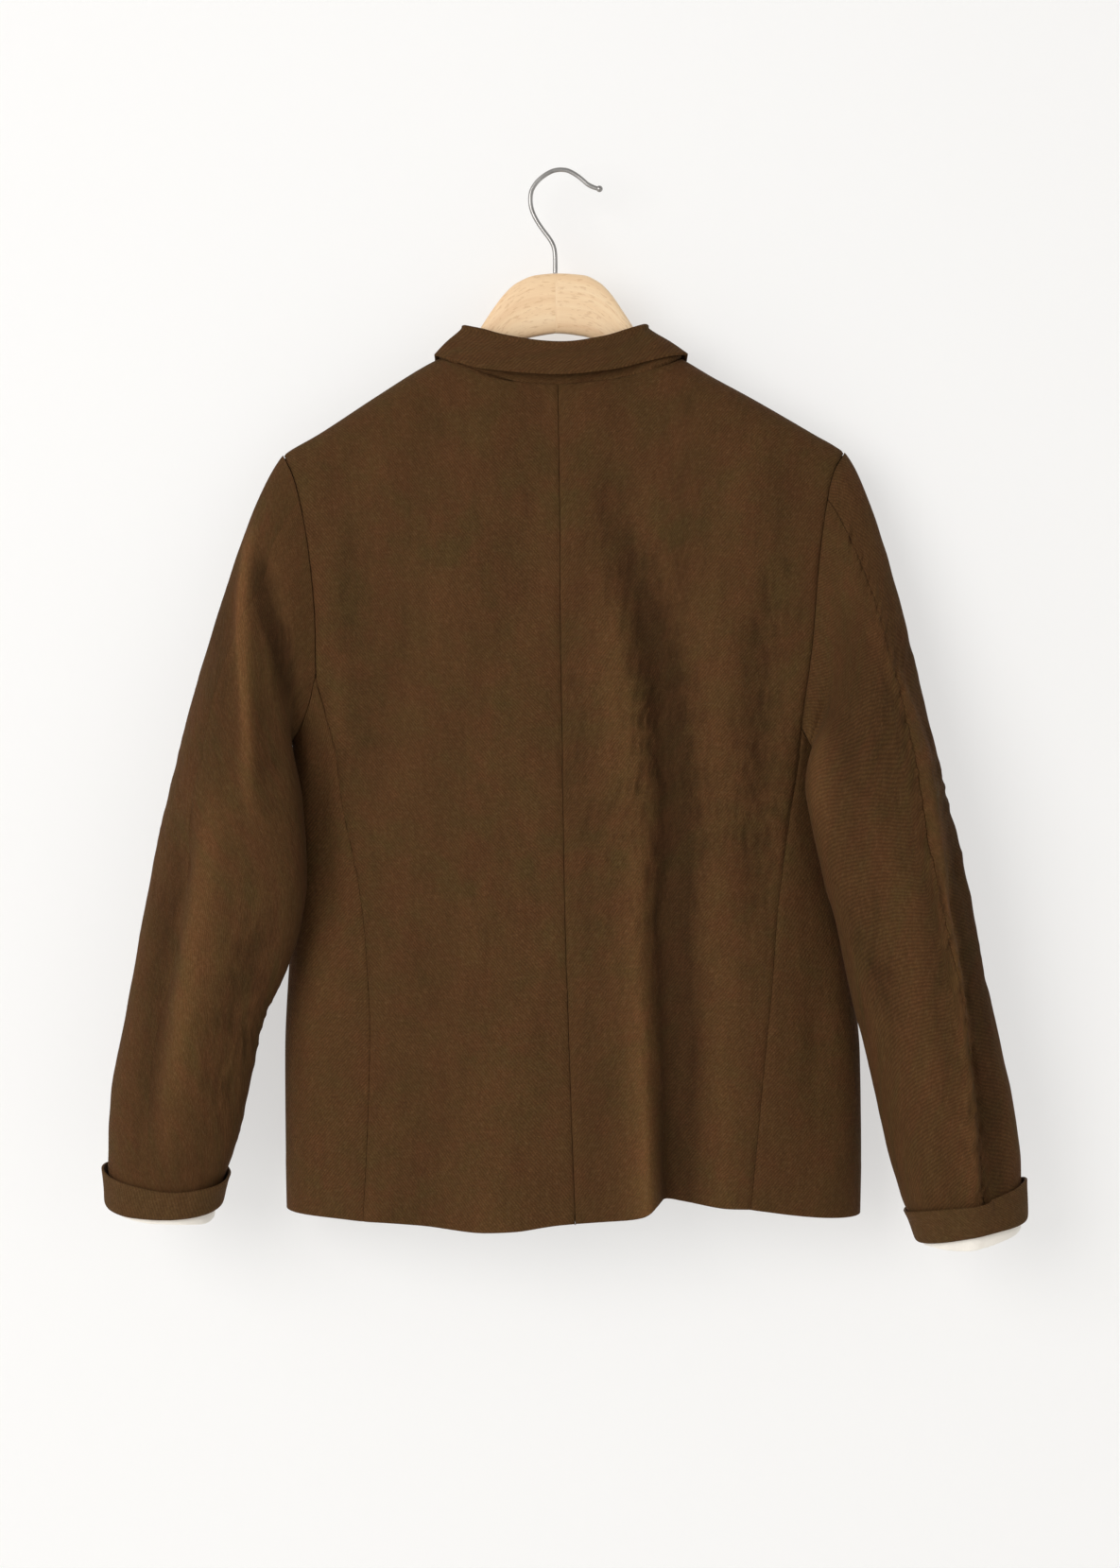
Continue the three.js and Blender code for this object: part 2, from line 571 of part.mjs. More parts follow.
// Rows of a panel: even up to the underarm, then closer towards the shoulder.
function panelRows(side, face) {
  const hem = HEM_ENDS[side][face];
  const join = (JUNCTION[side][face] - hem) / (shoulderZ(TIP[side]) - hem);
  const low = steps(LOW_ROWS).slice(0, -1).map((s) => join * s);
  const high = steps(HIGH_ROWS).map((s) => join + (1 - join) * (1 - (1 - s) ** 1.9));
  return [...low, ...high];
}
// Columns of a panel, given by where they reach its top edge.
const TOP_COLUMNS = {
  back: {
    left: [-3.3, -30, -58, -76.7, -88, -96.3, -116, -137, -158, -178, -198, -217.4],
    right: [-3.3, 23, 47, 64, 78, 87, 93.4, 103, 115, 129, 147, 169, 194, 220.4],
  },
  front: {
    left: [18, -7, -32, -48, -64, -77, -88, -92.8, -96.3, -120, -150, -184, -217.4],
    right: [-18, 6, 30, 45, 60, 73, 85, 89.8, 93.4, 118, 149, 184, 220.4],
  },
};

// Outward normal of the back or front of the body.
function skinNormal(surface, facing, x, z) {
  const across = surface(x + 0.5, z) - surface(x - 0.5, z);
  const up = surface(x, z + 0.5) - surface(x, z - 0.5);
  return unit([-facing * across, facing, -facing * up]);
}

function panelWall(place, side, face) {
  const tops = TOP_COLUMNS[face][side];
  const us = tops.map((x) => (x - tops[0]) / (tops[tops.length - 1] - tops[0]));
  const surface = face === "back" ? backY : frontY;
  const facing = face === "back" ? -1 : 1;
  const points = panelRows(side, face).map((v) => us.map((u) => place(side, u, v)));
  const normals = points.map((row) => row.map((p) => skinNormal(surface, facing, p[0], p[2])));
  squareShoulder(points, normals, NECK[side]);
  return wall(points, normals, CLOTH);
}

// Armhole: down the back seam edge, round under the arm and up the front edge.
function armhole(side) {
  const hand = side === "left" ? -1 : 1;
  const level = JUNCTION[side];
  const tipZ = shoulderZ(TIP[side]);
  const rise = steps(HIGH_ROWS).map((s) => 1 - (1 - s) ** 1.9);
  const edge = (seam, surface, join) => rise.map((s) => {
    const z = mix(join, tipZ, s);
    return [seam(z), surface(seam(z), z), z];
  });
  const back = edge(backSeamX[side], backY, level.back).reverse();
  const under = steps(SIDE_COLUMNS).slice(1, -1).map((u) => sidePoint(side, u, sideLevel(side, u, 1)));
  const front = edge(frontSeamX[side], frontY, level.front);
  const path = [...back, ...under, ...front];
  const lowest = path.reduce((best, p, i) => (p[2] < path[best][2] ? i : best), 0);
  const lengths = [0];
  for (let i = 1; i < path.length; i += 1) {
    lengths.push(lengths[i - 1] + Math.hypot(...minus(path[i], path[i - 1])));
  }
  const half = lengths[lowest];
  const whole = lengths[path.length - 1];
  const read = (t) => {
    const round = t - Math.floor(t);
    const want = round < 0.5 ? half * round * 2 : half + (whole - half) * (round * 2 - 1);
    let i = 0;
    while (i < path.length - 2 && lengths[i + 1] < want) i += 1;
    const s = (want - lengths[i]) / (lengths[i + 1] - lengths[i]);
    return add(path[i], minus(path[i + 1], path[i]), s);
  };
  const centre = path.reduce((sum, p) => add(sum, p, 1 / path.length), [0, 0, 0]);
  const outward = [hand, 0, 0];
  const normal = (t) => {
    const along = unit(minus(read(t + 0.01), read(t - 0.01)));
    const away = unit(minus(read(t), centre));
    const skin = unit(cross(along, outward));
    const sign = dot(skin, away) < 0 ? -1 : 1;
    return skin.map((c) => c * sign);
  };
  return { read, normal };
}
const ARMHOLE = { left: armhole("left"), right: armhole("right") };

// A level of the hanging sleeve: turn 0 outer edge, 0.25 back, 0.5 inner edge, 0.75 front.
function ringPoint(side, t, z, tilt) {
  const row = sleeveAt[side](z);
  const wrist = WRIST[side];
  const round = t - Math.floor(t);
  const angle = 2 * Math.PI * round + 0.75 * Math.sin(Math.PI * round) * (1 - smooth(-z, 520, 700));
  const middle = (row.outer + row.inner) / 2;
  const half = (row.outer - row.inner) / 2;
  const x = middle + half * Math.cos(angle);
  const y = row.mid - row.deep * Math.sin(angle) - row.turn * Math.cos(angle);
  const lift = wrist.slope * (x - middle) + wrist.sag * (y - row.mid);
  return [x, y, z + tilt * lift];
}
function wristTilt(z) {
  return smooth(-z, 660, 800);
}
function axisOf(side, z) {
  const row = sleeveAt[side](z);
  return [(row.outer + row.inner) / 2, row.mid];
}
function creased(side, p, axis, amount) {
  const out = unit([p[0] - axis[0], p[1] - axis[1], 0]);
  const facing = Math.max(0, -out[1]) ** 0.6;
  return add(p, out, -sleeveCrease[side](p[0], p[2]) * facing * amount);
}

// A point on a sleeve: v 0 to 1 runs from the armhole over the cap, 1 to 2 down to the wrist.
function sleevePoint(side, t, v) {
  const hand = side === "left" ? -1 : 1;
  const wrist = WRIST[side];
  if (v > 1) {
    const z = mix(CAP_END, wrist.z, v - 1);
    return creased(side, ringPoint(side, t, z, wristTilt(z)), axisOf(side, z), 1);
  }
  const turn = 2 * Math.PI * t;
  const out = hand * (0.8 - 0.05 * Math.cos(turn));
  const leave = unit([out, -0.42 * Math.sin(turn), -0.65 - 0.25 * Math.cos(turn)]);
  const start = add(ARMHOLE[side].read(t), leaveStep(side, t), ARMHOLE_GAP);
  const end = ringPoint(side, t, CAP_END, 0);
  const below = ringPoint(side, t, CAP_END - 10, 0);
  const arrive = unit(minus(below, end));
  const span = Math.hypot(...minus(end, start));
  const pull = span * (0.9 - 0.35 * Math.cos(turn));
  const r = 1 - v;
  const a = (1 + 2 * v) * r * r;
  const b = v * r * r * pull;
  const c = v * v * (3 - 2 * v);
  const d = -v * v * r * pull;
  const p = [0, 1, 2].map((i) => a * start[i] + b * leave[i] + c * end[i] + d * arrive[i]);
  const head = [TIP[side] - hand * 20, -3];
  const low = axisOf(side, CAP_END);
  const axis = [mix(head[0], low[0], v), mix(head[1], low[1], v)];
  return creased(side, p, axis, smooth(v, 0, 0.25));
}
function leaveStep(side, t) {
  const { read, normal } = ARMHOLE[side];
  const hand = side === "left" ? -1 : 1;
  const along = unit(minus(read(t + 0.01), read(t - 0.01)));
  const away = unit(cross(along, normal(t)));
  const sign = away[0] * hand < 0 ? -1 : 1;
  return away.map((c) => c * sign);
}
function sleeveNormal(side, t, v) {
  const across = minus(sleevePoint(side, t + 0.006, v), sleevePoint(side, t - 0.006, v));
  const low = Math.max(0, v - 0.02);
  const high = Math.min(2, v + 0.02);
  const along = minus(sleevePoint(side, t, high), sleevePoint(side, t, low));
  const hand = side === "left" ? -1 : 1;
  return unit(cross(across, along).map((c) => c * hand));
}

const SLEEVE_ROWS = {
  left: [...steps(CAP_ROWS), ...RING_LEVELS.map((z) => 1 + (z - CAP_END) / (WRIST.left.z - CAP_END))],
  right: [...steps(CAP_ROWS), ...RING_LEVELS.map((z) => 1 + (z - CAP_END) / (WRIST.right.z - CAP_END))],
};
// A sleeve wall stops just above the turned edge of its cuff.
function sleeveEnd(side) {
  return 2 - 2.6 / Math.abs(WRIST[side].z - CAP_END);
}

function sleevePanel(side, part) {
  const rows = [...SLEEVE_ROWS[side], sleeveEnd(side)];
  const count = part === "under" ? 13 : 15;
  const points = [];
  const normals = [];
  rows.forEach((v) => {
    const seam = sleeveSeam(v);
    const gap = 0.2 / 320;
    const from = part === "under" ? seam.hind + gap : seam.fore - 1 + gap;
    const to = part === "under" ? seam.fore - gap : seam.hind - gap;
    const turns = steps(count).map((s) => mix(from, to, s));
    points.push(turns.map((t) => sleevePoint(side, t, v)));
    normals.push(turns.map((t) => (v === 0 ? ARMHOLE[side].normal(t) : sleeveNormal(side, t, v))));
  });
  return wall(points, normals, CLOTH);
}

// A band round the wrist: rows give the distance off the sleeve and the height above the wrist.
function wristBand(side, rows, thickness, drop) {
  const span = Math.abs(WRIST[side].z - CAP_END);
  const turns = steps(COLUMNS_ROUND).slice(0, -1);
  const place = ([off, rise], t) => {
    const v = 2 - Math.max(0, rise) / span;
    const p = add(sleevePoint(side, t, v), sleeveNormal(side, t, v), off);
    return [p[0], p[1], p[2] + Math.min(0, rise) * drop(t)];
  };
  const points = rows.map((row) => turns.map((t) => place(row, t)));
  const normals = gridNormals(points, true, 1);
  const probe = normals[0][0];
  const out = sleeveNormal(side, turns[0], 2);
  const turn = dot(probe, out) < 0 ? -1 : 1;
  return wall(points, normals.map((row) => row.map((n) => n.map((c) => c * turn))), thickness, true);
}
function cuff(side) {
  const rows = [
    [3.6, TURNUP_HEIGHT], [3.5, 16], [3.5, 7.5], [3.1, 3], [1.7, 0.7], [-0.2, 0.05], [-2.2, 0.1],
  ];
  return wristBand(side, rows, 1.8, () => 1);
}
function lining(side) {
  const { base, near, inner } = WRIST[side].hang;
  const drop = (t) => {
    const angle = 2 * Math.PI * t;
    return base + near * Math.max(0, Math.sin(angle)) + inner * Math.max(0, -Math.cos(angle));
  };
  const rows = [[-3, LINING_RISE], [-3, 26], [-3, 12], [-2.9, 0], [-2.9, -1]];
  return wristBand(side, rows, LINING_WALL, drop);
}

// The folded collar: up the inside of the stand, over the fold, down the outside of the fall.
function collarPoint(s, k) {
  const row = collarAt(s);
  const front = s < NECK_STATIONS.left || s > NECK_STATIONS.right;
  const level = front ? frontNeckZ(row.foot) : backNeckZ(row.foot);
  const foot = [row.foot, front ? frontY(row.foot, level) : backY(row.foot, level), level + 0.7];
  const fold = [row.foldX, row.foldY, row.foldZ];
  const edge = [row.edgeX, row.edgeY, row.edgeZ];
  const out = unit([edge[0] - fold[0] * 0.6, edge[1] - fold[1] * 0.2, 0]);
  const low = add(foot, out, -2.7);
  const high = add(add(fold, out, -3.4), [0, 0, -4.6]);
  const lean = Math.hypot(high[0] - low[0], high[1] - low[1]) / Math.hypot(...minus(high, low));
  const base = add(low, [0, 0, COLLAR_WALL * lean * 1.2]);
  const near = add(add(fold, out, 4), [0, 0, -4.2]);
  const rows = [
    base,
    add(add(base, minus(high, base), 0.5), out, 0.6),
    high,
    add(add(fold, out, -2.5), [0, 0, -1.4]),
    fold,
    add(add(fold, out, 2.6), [0, 0, -1]),
    near,
    add(add(near, minus(edge, near), 0.5), out, 1),
    edge,
  ];
  return rows[k];
}
function collar() {
  const stations = steps(30).map((s) => s * 15);
  const points = stations.map((s) => Array.from({ length: 9 }, (_, k) => collarPoint(s, k)));
  const normals = gridNormals(points, false, 1);
  const turn = normals[15][4][2] > 0 ? 1 : -1;
  return wall(points, normals.map((row) => row.map((n) => n.map((c) => c * turn))), COLLAR_WALL);
}

function hanger() {
  const at = columns(HANGER, "x");
  const halfway = (i) => (HANGER[i - 1].x + HANGER[i].x) / 2;
  const stations = HANGER.flatMap((row, i) => (i === 0 || i % 2 ? [row.x] : [halfway(i), row.x]));
  const rings = stations.map((x) => {
    const row = at(x);
    const middle = (row.top + row.bottom) / 2;
    const half = (row.top - row.bottom) / 2;
    return steps(10).slice(0, -1).map((s) => {
      const angle = 2 * Math.PI * (s + 0.05);
      const c = Math.cos(angle);
      const d = Math.sin(angle);
      const deep = Math.sign(c) * Math.abs(c) ** 0.8;
      const high = Math.sign(d) * Math.abs(d) ** 0.75;
      return [x, row.half * deep, middle + half * high];
    });
  });
  return tube(rings);
}

function hook() {
  const line = HOOK.map((row) => new THREE.Vector3(row.x, 0, row.z));
  const spine = new THREE.CatmullRomCurve3(line, false, "centripetal");
  const count = 38;
  const ring = (centre, along, radius) => steps(8).slice(0, -1).map((s) => {
    const angle = 2 * Math.PI * s;
    const side = unit([-along[2], 0, along[0]]);
    return add([centre[0], radius * Math.cos(angle), centre[2]], side, radius * Math.sin(angle));
  });
  const rings = steps(count).map((s) => {
    const centre = spine.getPointAt(s);
    const along = spine.getTangentAt(s);
    return ring([centre.x, 0, centre.z], [along.x, 0, along.z], WIRE_RADIUS);
  });
  const end = spine.getTangentAt(1);
  [-50, -20, 15, 45, 70].forEach((degrees) => {
    const angle = (degrees * Math.PI) / 180;
    const shift = BALL.radius * Math.sin(angle);
    const centre = [BALL.x + end.x * shift, 0, BALL.z + end.z * shift];
    rings.push(ring(centre, [end.x, 0, end.z], BALL.radius * Math.cos(angle)));
  });
  return tube(rings);
}

function button(level) {
  const x = 0;
  const y = frontY(x, level);
  const across = (frontY(x + 4, level) - frontY(x - 4, level)) / 8;
  const upwards = (frontY(x, level + 4) - frontY(x, level - 4)) / 8;
  const out = unit([-across, 1, -upwards]);
  const right = unit(cross([0, 0, 1], out));
  const up = cross(out, right);
  const base = add([x, y, level], out, 0.45);
  const rows = [[0.86, 0], [1, 0.18], [1, 0.8], [0.9, 1], [0.72, 0.86], [0.4, 0.8]];
  const rings = rows.map(([reach, rise]) => steps(11).slice(0, -1).map((s) => {
    const angle = 2 * Math.PI * s;
    const radius = BUTTON_RADIUS * reach;
    const rim = add(add([0, 0, 0], right, radius * Math.cos(angle)), up, radius * Math.sin(angle));
    return add(add(base, rim), out, BUTTON_THICK * rise);
  }));
  return tube(rings);
}

function sideBody(side) {
  const hand = side === "left" ? -1 : 1;
  const points = [];
  const normals = [];
  steps(LOW_ROWS).forEach((v) => {
    const spots = steps(SIDE_COLUMNS).map((u) => [u, sideLevel(side, u, v)]);
    points.push(spots.map(([u, z]) => sidePoint(side, u, z)));
    normals.push(spots.map(([u, z]) => {
      const ahead = sidePoint(side, Math.min(1, u + 0.01), z);
      const round = minus(ahead, sidePoint(side, Math.max(0, u - 0.01), z));
      const up = minus(sidePoint(side, u, z + 0.5), sidePoint(side, u, z - 0.5));
      return unit(cross(round, up).map((c) => c * hand));
    }));
  });
  return wall(points, normals, CLOTH);
}

const TWILL = 0x4f3a24;
const REVERSE = 0x58412a;
const IVORY = 0xefe8db;
const BEECH = 0xf0cf9f;
const STEEL = 0xb4b8bc;
const HORN = 0x3a2a1c;

const jacket = new THREE.Group();
jacket.name = "military_jacket";
const parts = [
  ["back_left", panelWall(backPanel, "left", "back"), TWILL],
  ["back_right", panelWall(backPanel, "right", "back"), TWILL],
  ["side_left", sideBody("left"), TWILL],
  ["side_right", sideBody("right"), TWILL],
  ["front_left", panelWall(frontPanel, "left", "front"), TWILL],
  ["front_right", panelWall(frontPanel, "right", "front"), TWILL],
  ["collar", collar(), TWILL],
  ["sleeve_left_top", sleevePanel("left", "top"), TWILL],
  ["sleeve_left_under", sleevePanel("left", "under"), TWILL],
  ["sleeve_right_top", sleevePanel("right", "top"), TWILL],
  ["sleeve_right_under", sleevePanel("right", "under"), TWILL],
  ["cuff_left", cuff("left"), REVERSE],
  ["cuff_right", cuff("right"), REVERSE],
  ["lining_left", lining("left"), IVORY],
  ["lining_right", lining("right"), IVORY],
  ["hanger", hanger(), BEECH],
  ["hook", hook(), STEEL],
  ...BUTTON_LEVELS.map((level, i) => [`button_${i + 1}`, button(level), HORN]),
];
parts.forEach(([name, shape, colour]) => jacket.add(nodeOf(name, shape, colour)));

export default jacket;
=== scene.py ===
import math

import bmesh
import bpy
import numpy as np
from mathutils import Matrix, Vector


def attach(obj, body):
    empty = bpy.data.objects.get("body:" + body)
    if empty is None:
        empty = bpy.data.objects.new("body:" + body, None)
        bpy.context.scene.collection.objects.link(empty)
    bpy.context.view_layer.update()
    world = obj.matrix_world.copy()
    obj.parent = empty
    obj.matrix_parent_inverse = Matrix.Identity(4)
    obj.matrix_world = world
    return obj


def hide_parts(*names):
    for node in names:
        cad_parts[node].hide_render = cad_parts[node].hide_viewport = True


# A jacket hung on a wooden hanger. Sizes are in millimetres until a mesh is made, +Z up, back at -Y.
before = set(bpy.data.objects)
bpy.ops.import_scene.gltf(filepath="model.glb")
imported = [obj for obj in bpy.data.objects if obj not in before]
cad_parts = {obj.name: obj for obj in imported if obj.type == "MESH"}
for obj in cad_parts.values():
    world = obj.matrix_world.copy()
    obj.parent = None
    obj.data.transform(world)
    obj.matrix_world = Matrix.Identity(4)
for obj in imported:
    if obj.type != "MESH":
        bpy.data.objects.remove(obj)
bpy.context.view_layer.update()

MM = 0.001
CLOTH = 2.0  # wall of the cloth
SEAM = 0.2  # half of the gap left at a seam
ARMHOLE_GAP = 0.5
RIDGE_RADIUS = 26  # roundness of the shoulders' ridge
SECTION_POWER = 2.6  # of the rounded oblong that the body's section is
EDGE_EASE = 1.6  # how soon folds fade in from the side line
UNDERLAP = 2.7  # how far the left front lies inside the right one
FRONT_EDGE = 18  # how far each front reaches past the middle
COLLAR_WALL = 2.4
CAP_END = -490  # level where a sleeve has left its cap
GRID = 3.2  # spacing of a cloth grid
PANEL_WIDTH, PANEL_LOW, PANEL_HIGH = 235, 400, 230  # rounded sizes that set the panels' grids
SIDE_HEIGHT = 385
CAP_ROWS, ARM_ROWS = 92, 98  # rows of a sleeve above and below the end of its cap
SLEEVE_COLUMNS = dict(under=52, top=58)
SLEEVE_GIRTH = 320  # rounded way round a sleeve, to turn a gap into a turn
BAND_COLUMNS = 140  # round a cuff or a lining's end
COLLAR_COLUMNS, COLLAR_ROWS = 220, 62
PAINTED_LIGHT_REACH = 9  # cells over which a fold's depth is set against the cloth round it, for the shade and highlight painted into the cloth's colour
CENTRE_HEM_Z, CENTRE_NECK_Z = -813.2, -168.4  # ends of the centre-back seam
HEM_DEPTH = 38  # turned-up hem allowance inside the body
HEM_WALL, HEM_PUSH, HEM_SOFT = 1.1, 0.16, 1.5  # its extra thickness, how far it shows outside, its soft edge
ALLOWANCE_WALL = 0.8  # seam allowance of the centre back
DIP_REACH = 1.7  # how near to a seam the cloth dips into it
UNDERARM = dict(turn=0.41, reach=0.07, end=0.24, out=3.6, back=2.2)  # roll of the right sleeve over its seam
WOOD_JOIN_X = -4.6  # groove where the hanger's two halves meet
BUTTON_HOLE = 1.9  # offset and depth of a button's four holes


def table(names, rows):
    """Named columns of numbers, from rows set apart by commas."""
    data = np.array([row.split() for row in rows.split(",")], float)
    return dict(zip(names.split(), data.T))


def folds(text):
    """Long creases, set apart by semicolons, each a table down its length."""
    return [table("z x depth west east", rows) for rows in text.split(";")]


PULL = "x1 z1 x2 z2 depth half bow"
SPOT = "x z wide tall high"

# Body section at each height: side extremes in X, depth of back and front, Y of the side line.
SECTION = table("z left right back front side", """
    -100 -226 229 18 17 0, -180 -226 229 23 20 0, -260 -226 229 30 25 0, -370 -225 229 39 30 -1,
    -415 -218 225 42 32 -2, -450 -210 206 45 34 -3, -490 -210 206 47 35 -3, -530 -207 208 50 37 -4,
    -610 -212 223 53 39 -5, -690 -215.5 232 55 41 -6, -760 -215 233 57 41 -6, -815 -214 232 58 40 -6""")

# Ridge of the shoulders and its run inside the neck.
SHOULDER = table("x z", """
    -226 -229, -217 -221, -190 -205, -145 -175.6, -106 -151.2, -96 -146, -60 -128, 0 -116, 58 -128,
    93.4 -146, 117 -160, 145.8 -175.6, 196.8 -205, 220.4 -219, 229 -227""")
TIP = dict(left=-217.4, right=220.4)
NECK = dict(left=-96.3, right=93.4)

BACK_NECKLINE = table("x z", """
    -96.3 -146.2, -76.7 -155.2, -58.2 -161.9, -40.6 -165.9, -3.3 -168.4, 31.8 -165.3, 60.4 -159.7,
    87.1 -150.3, 93.4 -146.2""")
FRONT_NECKLINE = table("x z", """
    -96.3 -146.2, -88 -159, -62 -183, -30 -194, 0 -197, 30 -194, 60 -182, 85 -159, 93.4 -146.2""")

# Hem of the back, seen from behind, with the step where the pleat hangs free.
BACK_HEM = table("x z", """
    -206 -807.5, -188 -809.8, -152 -811.8, -106 -814.3, -59 -818.5, -36 -817.8, -2 -813.2, 33 -810.6,
    56 -807.9, 67 -804.3, 73 -799.6, 80 -794.9, 91 -796.5, 126 -801.2, 149 -802.4, 184 -807.4""")
HEM_ENDS = dict(
    left=dict(back=-811.8, low=-807, front=-800),
    right=dict(back=-802.3, low=-811.5, front=-800),
)

# Seams of the back panels.
CENTRE_BACK = table("z x", """
    -168 -3.3, -268 -1.8, -366 -1.1, -455 .3, -561 1.8, -656 4.6, -740 7.5, -818 10.4""")
BACK_SEAM = dict(
    left=table("z x", """
        -221.3 -217.4, -238.7 -208.9, -257.7 -203.6, -302.8 -195.6, -355.3 -190.9, -394 -190, -418 -184.2,
        -452 -175.3, -492 -169.9, -560 -155.7, -604 -150.5, -670 -147.2, -741 -148.8, -812 -152.3"""),
    right=table("z x", """
        -219.1 220.4, -236.7 210.7, -257.7 205.9, -306.4 199.2, -367 193.8, -392.9 190.4, -422.1 186.1,
        -456.4 183.4, -507 175, -582 165, -624 161.9, -711 153, -803 144.2"""),
)
FRONT_SEAM = dict(
    left=table("z x", """
        -221.3 -217.4, -238.7 -209, -262 -199, -302.8 -187, -355 -180, -405 -182, -440 -178, -520 -172,
        -604 -166, -700 -164, -800 -165"""),
    right=table("z x", """
        -219.1 220.4, -236.7 211, -262 201, -306 190, -367 183, -420 185, -450 182, -520 180, -604 178,
        -700 178, -800 176"""),
)
# Height where each seam meets the armhole, and the lowest point under the arm.
JUNCTION = dict(
    left=dict(back=-394, low=-446, front=-405),
    right=dict(back=-436, low=-456, front=-420),
)

# Creases of the cloth as seen from behind: depth in (positive) or out (negative), reach to either side.
BACK_FOLDS = folds("""
    -250 34 0 20 20, -300 48 4 18 22, -345 64 8 17 26, -430 80 12 15 28, -506 83 14 13 28, -603 79 13 12 28,
    -700 83 14 11 28, -800 82 17 9 30, -830 82 17 9 30;
    -330 36 0 20 14, -430 50 -3 22 13, -603 54 -4 24 11, -700 60 -5 24 10, -800 66 -8 26 9, -830 66 -8 26 9;
    -250 -163 0 12 14, -290 -165 2.6 12 18, -350 -166 3 12 20, -430 -159 2.4 12 20, -490 -162 0 12 16;
    -320 166 0 10 12, -370 150 3 14 12, -449 154 3.2 16 12, -520 150 3 16 12, -590 145 0 16 12;
    -640 -60 0 34 34, -760 -58 -5 36 36, -830 -56 -7 38 38;
    -600 128 0 22 22, -720 124 -3 24 22, -830 120 -5 26 22;
    -440 -180 0 14 18, -480 -186 5 14 18, -560 -180 5 14 16, -640 -178 0 14 16;
    -560 196 0 14 14, -655 200 4 16 16, -760 192 2 16 16, -815 190 1 16 16""")
FRONT_FOLDS = folds("""
    -300 70 0 20 20, -420 84 6 20 22, -600 92 8 20 22, -820 96 9 20 24;
    -330 -80 0 20 20, -500 -92 6 20 20, -680 -98 8 20 22, -820 -100 9 22 22""")

# Hanging sleeves below the cap: outer and inner edge in X, mid depth, half depth, turn of the inner edge.
SLEEVE = dict(
    left=table("z outer inner mid deep turn", """
        -480 -302 -198.5 -40 38 -9, -515 -310 -195.5 -42 38 -10, -551 -317 -194 -43 37 -11,
        -583 -323.5 -199 -44 37 -10, -616 -329 -209 -45 36 -8, -659 -336.5 -227 -46 36 -6,
        -688 -342 -234.3 -46 35 -5, -717 -346.5 -240.8 -46 35 -4, -746 -348 -247.3 -46 34 -3,
        -768 -348.5 -254 -46 34 -2, -780 -347.5 -258.5 -46 34 -2, -803 -347 -263.5 -46 33 -2"""),
    right=table("z outer inner mid deep turn", """
        -480 293 187 -46 37 -11, -515 301 192.5 -48 37 -11, -551 311 200 -49 36 -11,
        -583 317.5 209.5 -49 36 -10, -616 324 215.5 -48 36 -9, -659 333.6 225 -47 36 -7,
        -688 338.8 233 -46 35 -5, -717 345 240.5 -46 35 -4, -746 349 248 -46 34 -3, -776 352 257.5 -46 34 -2,
        -790 352 262.5 -46 34 -2, -806 353 270.3 -46 34 -2, -830 354 279 -46 33 -2"""),
)
WRIST = dict(
    left=dict(z=-800, slope=0, sag=0.25),
    right=dict(z=-820.5, slope=0.2, sag=0.02),
)

# Creases of the sleeves as seen from behind.
SLEEVE_FOLDS = dict(
    left=folds("""
        -285 -240 0 6 12, -315 -240 5 6 14, -372 -236 6 9 18, -442 -227 5 9 18, -505 -222 0 8 16;
        -300 -232 0 10 14, -348 -221 5 10 12, -384 -211 5 9 12, -425 -205 0 8 10;
        -460 -258 0 14 18, -530 -268 -3 14 20, -666 -288 -4 14 22, -770 -296 0 14 20;
        -560 -215 0 10 10, -615 -235 4 12 12, -655 -250 3 12 12, -690 -262 0 10 10;
        -480 -285 0 14 12, -600 -308 4 14 14, -740 -326 0 14 12"""),
    right=folds("""
        -300 250 0 10 12, -361 262 3 10 14, -472 294 6 9 16, -560 303 8 8 16, -650 315 8 8 16,
        -726 321 7 8 16, -780 326 4 8 14, -818 328 0 8 14;
        -330 222 0 12 12, -380 222 4 12 14, -440 214 3 12 14, -500 214 0 12 12;
        -470 250 0 22 18, -560 262 -3 22 18, -700 282 -3 22 18, -790 296 0 20 16;
        -580 226 0 10 10, -625 240 4 10 12, -665 254 0 10 12"""),
)
# Turn round the sleeve of its back seam and its front seam, from armhole to wrist.
SLEEVE_SEAM = table("v hind fore", """
    0 .09 .62, 1 .115 .62, 2 .215 .62""")

# Collar stations round the neck, from the left front over the back: foot in X, fold line, free edge.
COLLAR = table("s foot foldX foldY foldZ edgeX edgeY edgeZ", """
    0 -4 -5 22.5 -164 -7 31 -203, 1 -32 -30 21 -160 -36 29.5 -196, 2 -64 -54 16.5 -147 -74 26.5 -180,
    3 -88 -71 8.5 -129 -98.5 21.5 -159, 4 -96.3 -76 -1.5 -119.2 -99.6 -3 -142.8,
    5 -76.7 -62.9 -9.5 -123 -84.4 -17 -148.5, 6 -58.2 -48.1 -14.5 -128 -62.5 -25.5 -155.6,
    7 -3.3 -3 -20 -135 -3 -32.5 -161, 8 31.8 30 -17.5 -130.5 34 -30.5 -157.6,
    9 60.4 50 -12.5 -123.8 67.7 -24 -149.4, 10 81 60.5 -8.5 -120.3 85 -18.5 -145,
    11 93.4 65.2 -1.5 -118.6 98 -5 -142.6, 12 85 66 8.5 -129 95.5 21.5 -159, 13 60 52 16.5 -147 72 26.5 -180,
    14 30 30 21 -160 36 29.5 -196, 15 4 5 22.5 -164 7 31 -203""")
NECK_STATIONS = dict(left=4, right=11)

